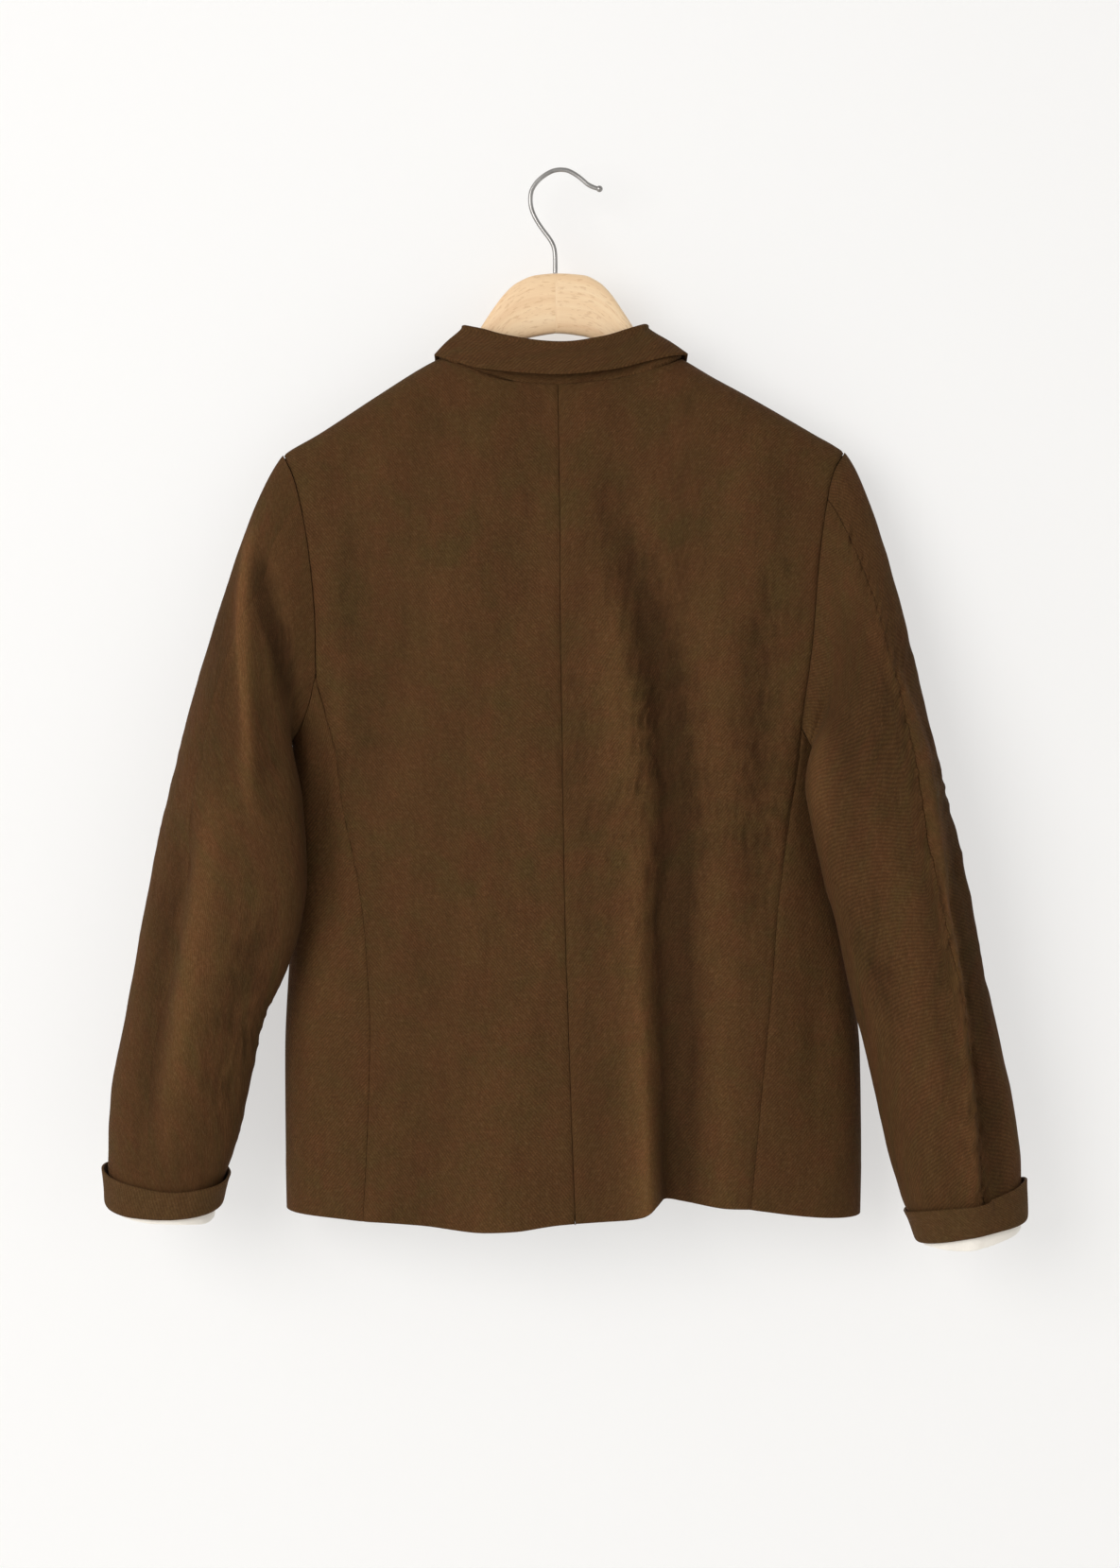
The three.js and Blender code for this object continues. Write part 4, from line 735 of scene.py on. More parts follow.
def sleeve_normal(side, t, v):
    across = sleeve_point(side, t + 0.006, v) - sleeve_point(side, t - 0.006, v)
    along = sleeve_point(side, t, np.minimum(2, v + 0.02)) - sleeve_point(side, t, np.maximum(0, v - 0.02))
    return unit(np.cross(across, along) * hand_of(side))


# ---- meshes ----

def grid_normals(points, wrap=False):
    up = np.gradient(points, axis=0)
    if wrap:
        across = np.roll(points, -1, axis=1) - np.roll(points, 1, axis=1)
    else:
        across = np.gradient(points, axis=1)
    return unit(np.cross(across, up))


def flat_map(points, wrap, flip):
    """Where each point of a grid lies on the uncreased cloth, in metres."""
    closed = np.concatenate([points, points[:, :1]], axis=1) if wrap else points
    across = np.linalg.norm(np.diff(closed, axis=1), axis=2)
    u = np.concatenate([np.zeros((len(closed), 1)), np.cumsum(across, axis=1)], axis=1)
    middle = u.shape[1] // 2
    u = (u - u[:, middle:middle + 1]) * flip
    along = np.linalg.norm(np.diff(closed, axis=0), axis=2)
    v = np.concatenate([np.zeros((1, closed.shape[1])), np.cumsum(along, axis=0)], axis=0)
    return u * MM, v * MM


def mesh_of(name, points, faces, uvs):
    """An object from points in millimetres, quads and, for each corner, a place on the cloth."""
    faces = np.asarray(faces, np.int32)
    mesh = bpy.data.meshes.new(name)
    mesh.vertices.add(len(points))
    mesh.vertices.foreach_set("co", (np.asarray(points) * MM).astype(np.float32).ravel())
    mesh.loops.add(faces.size)
    mesh.loops.foreach_set("vertex_index", faces.ravel())
    mesh.polygons.add(len(faces))
    mesh.polygons.foreach_set("loop_start", np.arange(0, faces.size, 4, dtype=np.int32))
    mesh.uv_layers.new(name="cloth").data.foreach_set("uv", np.asarray(uvs, np.float32).ravel())
    mesh.update(calc_edges=True)
    mesh.validate()
    work = bmesh.new()
    work.from_mesh(mesh)
    rims = [edge for edge in work.edges if edge.is_boundary]
    if rims:
        bmesh.ops.holes_fill(work, edges=rims, sides=0)
    bmesh.ops.recalc_face_normals(work, faces=work.faces)
    work.to_mesh(mesh)
    work.free()
    mesh.shade_smooth()
    mesh.set_sharp_from_angle(angle=math.radians(48))
    obj = bpy.data.objects.new(name, mesh)
    bpy.context.scene.collection.objects.link(obj)
    return obj


def quads(index, u, v):
    """Faces and their places on the cloth, from a grid of point numbers."""
    def four(a):
        return np.stack([a[:-1, :-1], a[:-1, 1:], a[1:, 1:], a[1:, :-1]], axis=-1).reshape(-1, 4)

    return four(index), np.stack([four(u), four(v)], axis=-1)


def blurred(field, cells):
    """A grid averaged over a soft square of cells."""
    reach = np.arange(-3 * cells, 3 * cells + 1)
    weight = np.exp(-(reach / cells) ** 2 / 2)
    weight /= weight.sum()
    for axis in (0, 1):
        pad = [(0, 0), (0, 0)]
        pad[axis] = (3 * cells, 3 * cells)
        wide = np.pad(field, pad, mode="edge")
        field = np.apply_along_axis(lambda line: np.convolve(line, weight, mode="valid"), axis, wide)
    return field


def shell(name, points, normals, thickness, wrap=False, flip=1, roll=(0, 0, 0, 0), sunk=None, tone=0):
    """A closed cloth wall between a grid of outer points and the same grid moved in.
    roll rounds out the rims at the first row, last row, first column and last column.
    sunk is how deep each outer point lies in its folds, for the shade in hollows and highlight on crests
    painted into the cloth's colour; tone adds listed painted light and shade."""
    rows, cols = points.shape[:2]
    thick = np.broadcast_to(np.asarray(thickness, float), (rows, cols))[..., None]
    inside = points - normals * thick
    u, v = flat_map(points, wrap, flip)
    index = np.arange(rows * cols).reshape(rows, cols)
    if wrap:
        index = np.concatenate([index, index[:, :1]], axis=1)
    made = [quads(index, u, v), quads(index + rows * cols, u, v)]
    cloud = [points.reshape(-1, 3), inside.reshape(-1, 3)]
    count = 2 * rows * cols
    up, side = unit(np.gradient(points, axis=0)), unit(np.gradient(points, axis=1))
    first, last, every = 0, -1, slice(None)
    rims = [((first, every), -up[0] * roll[0]), ((last, every), up[-1] * roll[1])]
    if not wrap:
        rims += [((every, first), -side[:, 0] * roll[2]), ((every, last), side[:, -1] * roll[3])]
    for line, shift in rims:
        layers = [index[line]]
        for t in (0.2, 0.5, 0.8) if np.any(shift) else ():
            ring = mix(points[line], inside[line], t) + shift * np.sin(np.pi * t)
            cloud.append(ring)
            number = np.arange(count, count + len(ring))
            count += len(ring)
            layers.append(np.append(number, number[0]) if wrap else number)
        layers.append(index[line] + rows * cols)
        strip = np.stack(layers)
        along, across = (np.broadcast_to(way[line], strip.shape) for way in (u, v))
        made.append(quads(strip, along, across))
    faces = np.concatenate([f for f, _ in made])
    cloud = np.concatenate(cloud)
    obj = mesh_of(name, cloud, faces, np.concatenate([m for _, m in made]))
    # The fold attribute is painted light: positive (painted shade) where a point lies deeper than the cloth
    # round it, negative (painted highlight) on crests, plus the listed tone.
    painted_light = np.zeros(len(cloud), np.float32)
    if sunk is not None:
        painted_light[:rows * cols] = (sunk - blurred(sunk, PAINTED_LIGHT_REACH) + tone).ravel()
    obj.data.attributes.new("fold", "FLOAT", "POINT").data.foreach_set("value", painted_light)
    return obj


def tube(name, rings):
    """A solid of rings, each end closed towards its middle."""
    cols, ends = rings.shape[1], []
    for ring, shrink in ((rings[0], (0.02, 0.5)), (rings[-1], (0.5, 0.02))):
        middle = ring.mean(axis=0)
        ends.append([middle + (ring - middle) * s for s in shrink])
    rings = np.concatenate([ends[0], rings, ends[1]])
    index = np.arange(len(rings) * cols).reshape(len(rings), cols)
    index = np.concatenate([index, index[:, :1]], axis=1)
    along = run_of(rings.mean(axis=1)) * MM
    turn = steps(cols + 1) * 0.03
    u = np.broadcast_to(turn[None, :], index.shape)
    v = np.broadcast_to(along[:, None], index.shape)
    faces, places = quads(index, u, v)
    return mesh_of(name, rings.reshape(-1, 3), faces, places)


# ---- cloth pieces ----

def spaced(count, near):
    """Shares from 0 to 1, closer beside both edges, where seams dip."""
    middle = np.linspace(near[-1], 1 - near[-1], count)
    return np.concatenate([[0], near[:-1], middle, 1 - np.array(near[:-1])[::-1], [1]])


def pucker(along, off, seed, high=0.35, reach=9.0):
    """Small puckers beside a seam, from the pull of its thread."""
    rng = np.random.default_rng(seed)
    total = 0
    for length in (7.5, 11.0, 17.0):
        total = total + np.sin(2 * np.pi * along / length * rng.uniform(0.9, 1.1) + rng.uniform(0, 6.28))
    return high * total / 1.8 * np.exp(-((off / reach) ** 2))


def skin_normal(face, x, z):
    across = skin_y(face, x + 0.5, z) - skin_y(face, x - 0.5, z)
    up = skin_y(face, x, z + 0.5) - skin_y(face, x, z - 0.5)
    return unit(FACING[face] * vec(-across, 1, -up))


def finish_panel(points, normals, puckers, dips, seed):
    """Dips the side edges of a panel into its seams and puckers the cloth beside them."""
    along = np.cumsum(np.linalg.norm(np.diff(points, axis=0, prepend=points[:1]), axis=2), axis=0)
    across = np.cumsum(np.linalg.norm(np.diff(points, axis=1, prepend=points[:, :1]), axis=2), axis=1)
    whole = across[:, -1:]
    dip = 0
    for n, (off, high, deep) in enumerate(zip((across, whole - across), puckers, dips)):
        dip = dip + deep * np.exp(-((off / DIP_REACH) ** 2))
        dip = dip + pucker(along, off, seed + n, high)
    return points - normals * np.asarray(dip)[..., None]


def hemmed(points, normals):
    """The extra thickness of the turned-up hem, which also pushes the cloth out a little."""
    height = points[..., 2] - points[:1, :, 2]
    share = 1 - smooth(height, HEM_DEPTH - HEM_SOFT, HEM_DEPTH + HEM_SOFT)
    return points + normals * (HEM_PUSH * share)[..., None], HEM_WALL * share, height


def body_panel(name, side, face, seed):
    back = face == "back"
    u = spaced(round(PANEL_WIDTH / GRID), [reach / PANEL_WIDTH for reach in (0.9, 2.0, 4.0)])
    hem, tip_z = HEM_ENDS[side][face], shoulder_z(TIP[side])
    join = (JUNCTION[side][face] - hem) / (tip_z - hem)
    low = join * steps(round(PANEL_LOW / GRID))[:-1]
    high = join + (1 - join) * (1 - (1 - steps(round(PANEL_HIGH / GRID))) ** 1.9)
    v = np.concatenate([low, high])
    uu, vv = np.meshgrid(u, v)
    points = panel_point(face, side, uu, vv)
    normals = skin_normal(face, points[..., 0], points[..., 2])
    x = points[-1, :, 0]
    slope = (shoulder_z(x + 1) - shoulder_z(x - 1)) / 2
    square = unit(vec(-slope, 0, 1))
    on_ridge = np.abs(x) >= abs(NECK[side]) - 0.5
    normals[-1] = np.where(on_ridge[:, None], square, normals[-1])
    points = finish_panel(points, normals, (0.35 if back else 0, 0.3), (0.9 if back else 0, 1.0), seed)
    points, fold, height = hemmed(points, normals)
    x, z = points[..., 0], points[..., 2]
    # Painted shade and highlight of the colour: the folds' depth with the rumples doubled, and on the back
    # the listed painted light.
    sunk = depth(face, x, z) + 2 * RUMPLED[face](x, z)
    tone = back_painted_light(x, z) if back else 0 * x
    rims = (0.9, 0, 0 if back else 0.9, 0)
    thick = CLOTH + fold
    if (face, side) == ("back", "left"):
        # the seam allowance of the centre back, laid under the other panel
        edge, out = points[:, :1].copy(), normals[:, :1]
        edge[..., 2] += 2.8 * np.exp(-height[:, :1] / 8)
        across = np.array([1.0, 0, 0])
        deep = (CLOTH + 0.5 + fold[:, :1])[..., None]
        turned = [edge + across * 5 - out * deep, edge + across * 0.6 - out * (deep - 0.1), edge - out * 0.8]
        points = np.concatenate(turned + [points], axis=1)
        normals = np.concatenate([out, out, out, normals], axis=1)
        thick = np.concatenate([np.full((len(fold), 3), ALLOWANCE_WALL), thick], axis=1)
        sunk, tone = (np.concatenate([f[:, :1]] * 3 + [f], axis=1) for f in (sunk, tone))
    return shell(name, points, normals, thick, flip=-FACING[face], roll=rims, sunk=sunk, tone=tone)


def side_body(name, side, seed):
    hand = hand_of(side)
    u = spaced(26, [0.011, 0.024, 0.05])
    v = steps(round(SIDE_HEIGHT / GRID))
    uu, vv = np.meshgrid(u, v)
    z = side_level(side, uu, vv)
    points = side_point(side, uu, z)
    ahead = side_point(side, np.minimum(1, uu + 0.01), z)
    behind = side_point(side, np.maximum(0, uu - 0.01), z)
    up = side_point(side, uu, z + 0.5) - side_point(side, uu, z - 0.5)
    normals = unit(np.cross(ahead - behind, up) * hand)
    points = finish_panel(points, normals, (0.3, 0.25), (1.1, 1.1), seed)
    points, fold, _ = hemmed(points, normals)
    # The side bodies' colour gets only the listed painted light, no painted shade of folds.
    return shell(name, points, normals, CLOTH + fold, flip=hand, roll=(0.9, 0, 0, 0), sunk=0 * z,
                 tone=side_painted_light(points[..., 0], points[..., 2]))


def sleeve_panel(name, side, part, seed):
    wrist = WRIST[side]
    end = 2 - 2.6 / abs(wrist["z"] - CAP_END)
    rows = np.concatenate([steps(CAP_ROWS)[:-1], np.linspace(1, end, ARM_ROWS)])
    share = spaced(SLEEVE_COLUMNS[part], [0.005, 0.012, 0.024])
    seam = sleeve_seam(rows)
    gap = SEAM / SLEEVE_GIRTH
    close = gap if side == "right" else 0.05 / SLEEVE_GIRTH
    if part == "under":
        start, stop = seam["hind"] + close, seam["fore"] - gap
    else:
        start, stop = seam["fore"] - 1 + gap, seam["hind"] - close
    t = mix(start[:, None], stop[:, None], share[None, :])
    v = np.broadcast_to(rows[:, None], t.shape)
    points = sleeve_point(side, t, v)
    normals = sleeve_normal(side, t, v)
    normals[0] = ARMHOLE[side][1](t[0])
    hind, deep = (1.0, 0.4) if side == "right" else (0.05, 0.0)
    ends = (hind, 0.3) if part == "under" else (0.3, hind)
    dips = (deep, 0.8) if part == "under" else (0.8, deep)
    points = finish_panel(points, normals, ends, dips, seed)
    # the seam allowance of the armhole, turned in under the body
    under, out = leave_step(side, t[0]), normals[0]
    turned = [points[0] - out * 2.5 - under * 6, points[0] - out * 2.4 - under, points[0] - out * 0.8]
    points = np.concatenate([turned, points])
    normals = np.concatenate([[out, out, out], normals])
    thick = np.full(points.shape[:2], CLOTH)
    thick[:3] = 0.9
    x, z = points[..., 0], points[..., 2]
    hind = normals[..., 1] < 0
    # Painted shade and highlight of the colour from the folds and the listed painted light, only where the
    # sleeve faces the back.
    sunk = sum(made(x, z) for made in SLEEVE_CREASED[side]) * hind + 2 * sleeve_rumpled[side](x, z)
    tone = sleeve_painted_light[side](x, z) * hind
    return shell(name, points, normals, thick, flip=-hand_of(side), sunk=sunk, tone=tone)


def spline_rows(rows, count):
    """More rows through a short list, by a smooth curve through them."""
    rows = np.asarray(rows, float)
    at = np.linspace(0, len(rows) - 1, count)
    i = np.clip(at.astype(int), 0, len(rows) - 2)
    t = (at - i)[(...,) + (None,) * (rows.ndim - 1)]
    before, after = rows[np.maximum(i - 1, 0)], rows[np.minimum(i + 2, len(rows) - 1)]
    a, b = rows[i], rows[i + 1]
    return 0.5 * (2 * a + (b - before) * t + (2 * before - 5 * a + 4 * b - after) * t ** 2
                  + (3 * a - before - 3 * b + after) * t ** 3)


def wrist_band(name, side, rows, thickness, drop, count, roll, ripple, flip, heights=()):
    span = abs(WRIST[side]["z"] - CAP_END)
    turns = steps(BAND_COLUMNS + 1)[:-1]
    rows = spline_rows(rows, count)
    tall = 1 + sum(high * near(turns, middle, reach) for middle, reach, high in heights)
    points = []
    for off, rise in rows:
        v = 2 - max(0, rise) * tall / span
        push = (off + ripple(turns, rise))[:, None]
        p = sleeve_point(side, turns, v) + sleeve_normal(side, turns, v) * push
        p[:, 2] += min(0, rise) * drop(turns)
        points.append(p)
    points = np.stack(points)
    normals = grid_normals(points, wrap=True)
    out = sleeve_normal(side, turns[:1], np.array([2.0]))[0]
    if np.dot(normals[0, 0], out) < 0:
        normals = -normals
    return shell(name, points, normals, thickness, wrap=True, flip=flip, roll=roll)


def waves_round(turns, seed, counts, fade):
    rng = np.random.default_rng(seed)
    return sum(np.sin(2 * np.pi * turns * k + rng.uniform(0, 6.28)) / k ** fade for k in counts)


# Where round the wrist a cuff's rim stands off, and where it is taller: turn, reach, height.
CUFF_STANDS = dict(left=[(0.04, 0.05, 1.6), (0.4, 0.06, 3.2), (0.8, 0.06, 2.0)],
                   right=[(0.215, 0.05, 3.8), (0.02, 0.05, 1.0), (0.5, 0.05, -0.9), (0.72, 0.06, 2.2)])
CUFF_HEIGHTS = dict(left=[(0.0, 0.07, 0.14), (0.3, 0.13, -0.2), (0.75, 0.1, 0.06)],
                    right=[(0.24, 0.09, -0.1), (0.0, 0.09, 0.2), (0.5, 0.06, -0.04), (0.8, 0.1, 0.06)])


def cuff(name, side, seed):
    rows = [[3.6, 26], [3.5, 20], [3.5, 14], [3.5, 7.5], [3.1, 3], [1.7, 0.7], [-0.2, 0.05], [-2.2, 0.1]]

    def ripple(turns, rise):
        wave = waves_round(turns, seed, (3, 7, 13, 19), 0.5)
        stand = sum(high * near(turns, middle, reach) for middle, reach, high in CUFF_STANDS[side])
        return 0.16 * wave * smooth(rise, 2, 20) + stand * smooth(rise, 6, 27)

    return wrist_band(name, side, rows, 1.9, np.ones_like, 30, (0.5, 0.2), ripple, -hand_of(side),
                      CUFF_HEIGHTS[side])


def lining(name, side, seed):
    rows = [[-3, 45], [-3, 26], [-3, 12], [-2.7, 4], [-2.5, 0], [-2.4, -0.5], [-2.6, -1]]

    def drop(t):
        if side == "left":
            return 0.6 + 8 * near(t, 0.45, 0.13) + 2 * near(t, 0.22, 0.1)
        return 1 + 8.5 * near(t, 0.25, 0.14) + 3.5 * near(t, 0.07, 0.09) + 3 * near(t, 0.7, 0.2)

    def ripple(turns, rise):
        return 0.14 * waves_round(turns, seed, (5, 9, 14, 22), 0.4)

    return wrist_band(name, side, rows, 1.2, drop, 26, (0, 0.5), ripple, -hand_of(side))


def collar_rows(s):
    """Points from the collar's inner foot over its fold to its free edge, for stations s."""
    row = collar_at(s)
    front = (s < NECK_STATIONS["left"]) | (s > NECK_STATIONS["right"])
    foot_x = row["foot"]
    level = np.where(front, neck_z["front"](foot_x), neck_z["back"](foot_x))
    foot_y = np.where(front, skin_y("front", foot_x, level), skin_y("back", foot_x, level))
    foot = vec(foot_x, foot_y, level + 0.7)
    fold = vec(row["foldX"], row["foldY"], row["foldZ"])
    edge = vec(row["edgeX"], row["edgeY"], row["edgeZ"])
    out = unit(vec(edge[:, 0] - fold[:, 0] * 0.6, edge[:, 1] - fold[:, 1] * 0.2, 0))
    down = np.array([0, 0, 1.0])
    low = foot - out * 2.7
    high = fold - out * 3.4 - down * 4.6
    lean = np.hypot(high[:, 0] - low[:, 0], high[:, 1] - low[:, 1]) / np.linalg.norm(high - low, axis=1)
    base = low + down * (COLLAR_WALL * lean * 1.2)[:, None]
    near = fold + out * 4 - down * 4.2
    tucked = foot - out * 4.5 - down * 0.6
    return np.stack([
        tucked - down * 8, tucked, base, base + (high - base) * 0.5 + out * 0.6, high,
        fold - out * 2.5 - down * 1.4, fold, fold + out * 2.6 - down, near,
        near + (edge - near) * 0.5 + out, edge,
    ])


def collar(name):
    s = np.linspace(0, COLLAR["s"].max(), COLLAR_COLUMNS)
    grid = spline_rows(collar_rows(s), COLLAR_ROWS).transpose(1, 0, 2)
    wave = uneven(grid[..., 0], grid[..., 1] * 2 + grid[..., 2], 29)
    normals = grid_normals(grid)
    middle = COLLAR_COLUMNS // 2
    fold = int(grid[middle, :, 2].argmax())
    normals = normals * np.sign(normals[middle, fold, 2])
    grid = grid + normals * (0.22 * wave)[..., None]
    normals = grid_normals(grid)
    normals = normals * np.sign(normals[middle, fold, 2])
    return shell(name, grid, normals, COLLAR_WALL - 0.5, flip=1, roll=(0.8, 0.8, 0, 0.8))


# ---- hanger, hook and buttons ----

def hanger(name):
    arms = np.linspace(-192, 193, 240)
    x = np.concatenate([np.linspace(-203, -192, 12)[:-1], arms, np.linspace(193, 204, 12)[1:]])
    row = hanger_at(x)
    middle, half = (row["top"] + row["bottom"]) / 2, (row["top"] - row["bottom"]) / 2
    groove = 0.35 * np.exp(-(((x - WOOD_JOIN_X) / 0.8) ** 2))
    angle = 2 * np.pi * (steps(49)[:-1] + 0.05)
    c, d = np.cos(angle), np.sin(angle)
    deep = np.sign(c) * np.abs(c) ** 0.7
    high = np.sign(d) * np.abs(d) ** 0.7
    y = (row["half"] - groove)[:, None] * deep[None, :]
    z = middle[:, None] + (half - groove)[:, None] * high[None, :]
    rings = vec(x[:, None], y, z)
    obj = tube(name, rings)
    line = vec(x, 0 * x, middle)
    along = run_of(line)
    co = np.zeros(len(obj.data.vertices) * 3, np.float32)
    obj.data.vertices.foreach_get("co", co)
    co = co.reshape(-1, 3) / MM
    grain = np.stack([np.interp(co[:, 0], x, along) + 900 * (co[:, 0] > WOOD_JOIN_X), co[:, 1],
                      co[:, 2] - np.interp(co[:, 0], x, middle)], axis=1) * MM
    mark = obj.data.attributes.new("grain", "FLOAT_VECTOR", "POINT")
    mark.data.foreach_set("vector", grain.astype(np.float32).ravel())
    return obj


def hook(name):
    line = spline_rows(np.stack([HOOK["x"], HOOK["z"]], axis=1), 170)
    way = unit(np.gradient(line, axis=0))
    radius = np.full(len(line), 1.8)
    end = way[-1]
    for degrees in (-58, -50, -40, -30, -20, -8, 5, 18, 30, 42, 54, 64, 74, 82):
        a = math.radians(degrees)
        shift = BALL["radius"] * math.sin(a)
        line = np.concatenate([line, [[BALL["x"] + end[0] * shift, BALL["z"] + end[1] * shift]]])
        way = np.concatenate([way, [end]])
        radius = np.append(radius, BALL["radius"] * math.cos(a))
    angle = circle(24)
    across = radius[:, None] * np.sin(angle)[None, :]
    rings = vec(line[:, :1] - way[:, 1:] * across, radius[:, None] * np.cos(angle)[None, :],
                line[:, 1:] + way[:, :1] * across)
    return tube(name, rings)


def button(name, level):
    """A four-hole button: turned rim, dished face and thread bars through its holes."""
    across = (skin_y("front", 4.0, level) - skin_y("front", -4.0, level)) / 8
    upwards = (skin_y("front", 0.0, level + 4) - skin_y("front", 0.0, level - 4)) / 8
    out = unit(np.array([-across, 1, -upwards]))
    right = unit(np.cross([0, 0, 1], out))
    up = np.cross(out, right)
    base = np.array([0, float(skin_y("front", 0.0, level)), level]) + out * 0.45
    face = [6, 5.4] + [4.8 - 0.5 * k for k in range(10)] + [0]
    profile = [[0, 0], [5, 0], [8.4, 0], [9.4, 0.3], [10, 1.0], [10, 2.3], [9.7, 3.1], [9.0, 3.5], [8.2, 3.4],
               [7.4, 2.9], [6.6, 2.7]] + [[reach, 2.6] for reach in face]
    rings = []
    angle = circle(72)
    for reach, rise in spline_rows(profile, 70):
        reach = max(reach, 0.02)
        a, b = reach * np.cos(angle), reach * np.sin(angle)
        if rise > 2 and reach < 7:
            hole = np.hypot(np.abs(a) - BUTTON_HOLE, np.abs(b) - BUTTON_HOLE)
            rim = 0.18 * np.exp(-(((hole - 1.35) / 0.3) ** 2))
            rise = rise - BUTTON_HOLE * (1 - smooth(hole, 0.55, 1.15)) + rim
        rise = np.broadcast_to(rise, a.shape)
        rings.append(base + a[:, None] * right + b[:, None] * up + rise[:, None] * out)
    disc = tube(name, np.stack(rings))
    bars = []
    for shift in (-BUTTON_HOLE, BUTTON_HOLE):
        t = steps(22)
        rise = 1.5 + 2.1 * np.sin(np.pi * t) ** 0.55
        line = base + (shift + 0 * t)[:, None] * right + ((t - 0.5) * 4.0)[:, None] * up + rise[:, None] * out
        way = unit(np.gradient(line, axis=0))
        flat = np.broadcast_to(right, way.shape)
        other = np.cross(way, flat)
        turn = circle(12)
        wide, thick = 0.62 * np.cos(turn)[None, :, None], 0.42 * np.sin(turn)[None, :, None]
        ring = line[:, None] + wide * flat[:, None] + thick * other[:, None]
        bars.append(tube(name + "_thread_" + ("a" if shift < 0 else "b"), ring))
    return disc, bars


# ---- materials ----

class Nodes:
    """Short names for building a node tree."""

    def __init__(self, name):
        self.material = bpy.data.materials.new(name)
        self.material.use_nodes = True
        self.tree = self.material.node_tree
        self.shader = self.tree.nodes["Principled BSDF"]

    def new(self, kind, **settings):
        node = self.tree.nodes.new(kind)
        for key, value in settings.items():
            setattr(node, key, value)
        return node

    def link(self, a, b):
        self.tree.links.new(a, b)

    def put(self, socket, value):
        if isinstance(value, bpy.types.NodeSocket):
            self.link(value, socket)
        else:
            socket.default_value = value

    def math(self, operation, a, b=0.0, c=0.0):
        node = self.new("ShaderNodeMath", operation=operation)
        for socket, value in zip(node.inputs, (a, b, c)):
            self.put(socket, value)
        return node.outputs[0]

    def line(self, value, scale, shift):
        return self.math("MULTIPLY_ADD", value, scale, shift)

    def cloth_uv(self):
        return self.new("ShaderNodeUVMap", uv_map="cloth").outputs["UV"]

    def spot(self):
        return self.new("ShaderNodeTexCoord").outputs["Object"]

    def noise(self, vector, scale, detail=3.0, rough=0.55, distortion=0.0):
        node = self.new("ShaderNodeTexNoise")
        self.put(node.inputs["Vector"], vector)
        values = dict(Scale=scale, Detail=detail, Roughness=rough, Distortion=distortion)
        for key, value in values.items():
            node.inputs[key].default_value = value
        return node.outputs["Fac"]

    def stretch(self, vector, scale):
        node = self.new("ShaderNodeMapping")
        self.put(node.inputs["Vector"], vector)
        node.inputs["Scale"].default_value = scale
        return node.outputs["Vector"]

    def ramp(self, value, stops):
        node = self.new("ShaderNodeValToRGB")
        self.put(node.inputs["Fac"], value)
        points = node.color_ramp.elements
        while len(points) < len(stops):
            points.new(0.5)
        for point, (place, colour) in zip(points, stops):
            point.position = place
            point.color = (*colour, 1)
        return node.outputs["Color"]

    def mixed(self, factor, a, b, blend_type="MIX"):
        node = self.new("ShaderNodeMix", data_type="RGBA", blend_type=blend_type)
        self.put(node.inputs["Factor"], factor)
        self.put(node.inputs[6], a if isinstance(a, bpy.types.NodeSocket) else (*a, 1))
        self.put(node.inputs[7], b if isinstance(b, bpy.types.NodeSocket) else (*b, 1))
        return node.outputs[2]

    def bump(self, height, strength, distance, normal=None):
        node = self.new("ShaderNodeBump")
        node.inputs["Strength"].default_value = strength
        node.inputs["Distance"].default_value = distance
        self.link(height, node.inputs["Height"])
        if normal is not None:
            self.link(normal, node.inputs["Normal"])
        return node.outputs["Normal"]

    def surface(self, colour, roughness, normal=None, **sockets):
        self.put(self.shader.inputs["Base Color"], colour)
        self.put(self.shader.inputs["Roughness"], roughness)
        if normal is not None:
            self.link(normal, self.shader.inputs["Normal"])
        for key, value in sockets.items():
            self.shader.inputs[key.replace("_", " ")].default_value = value
        return self.material


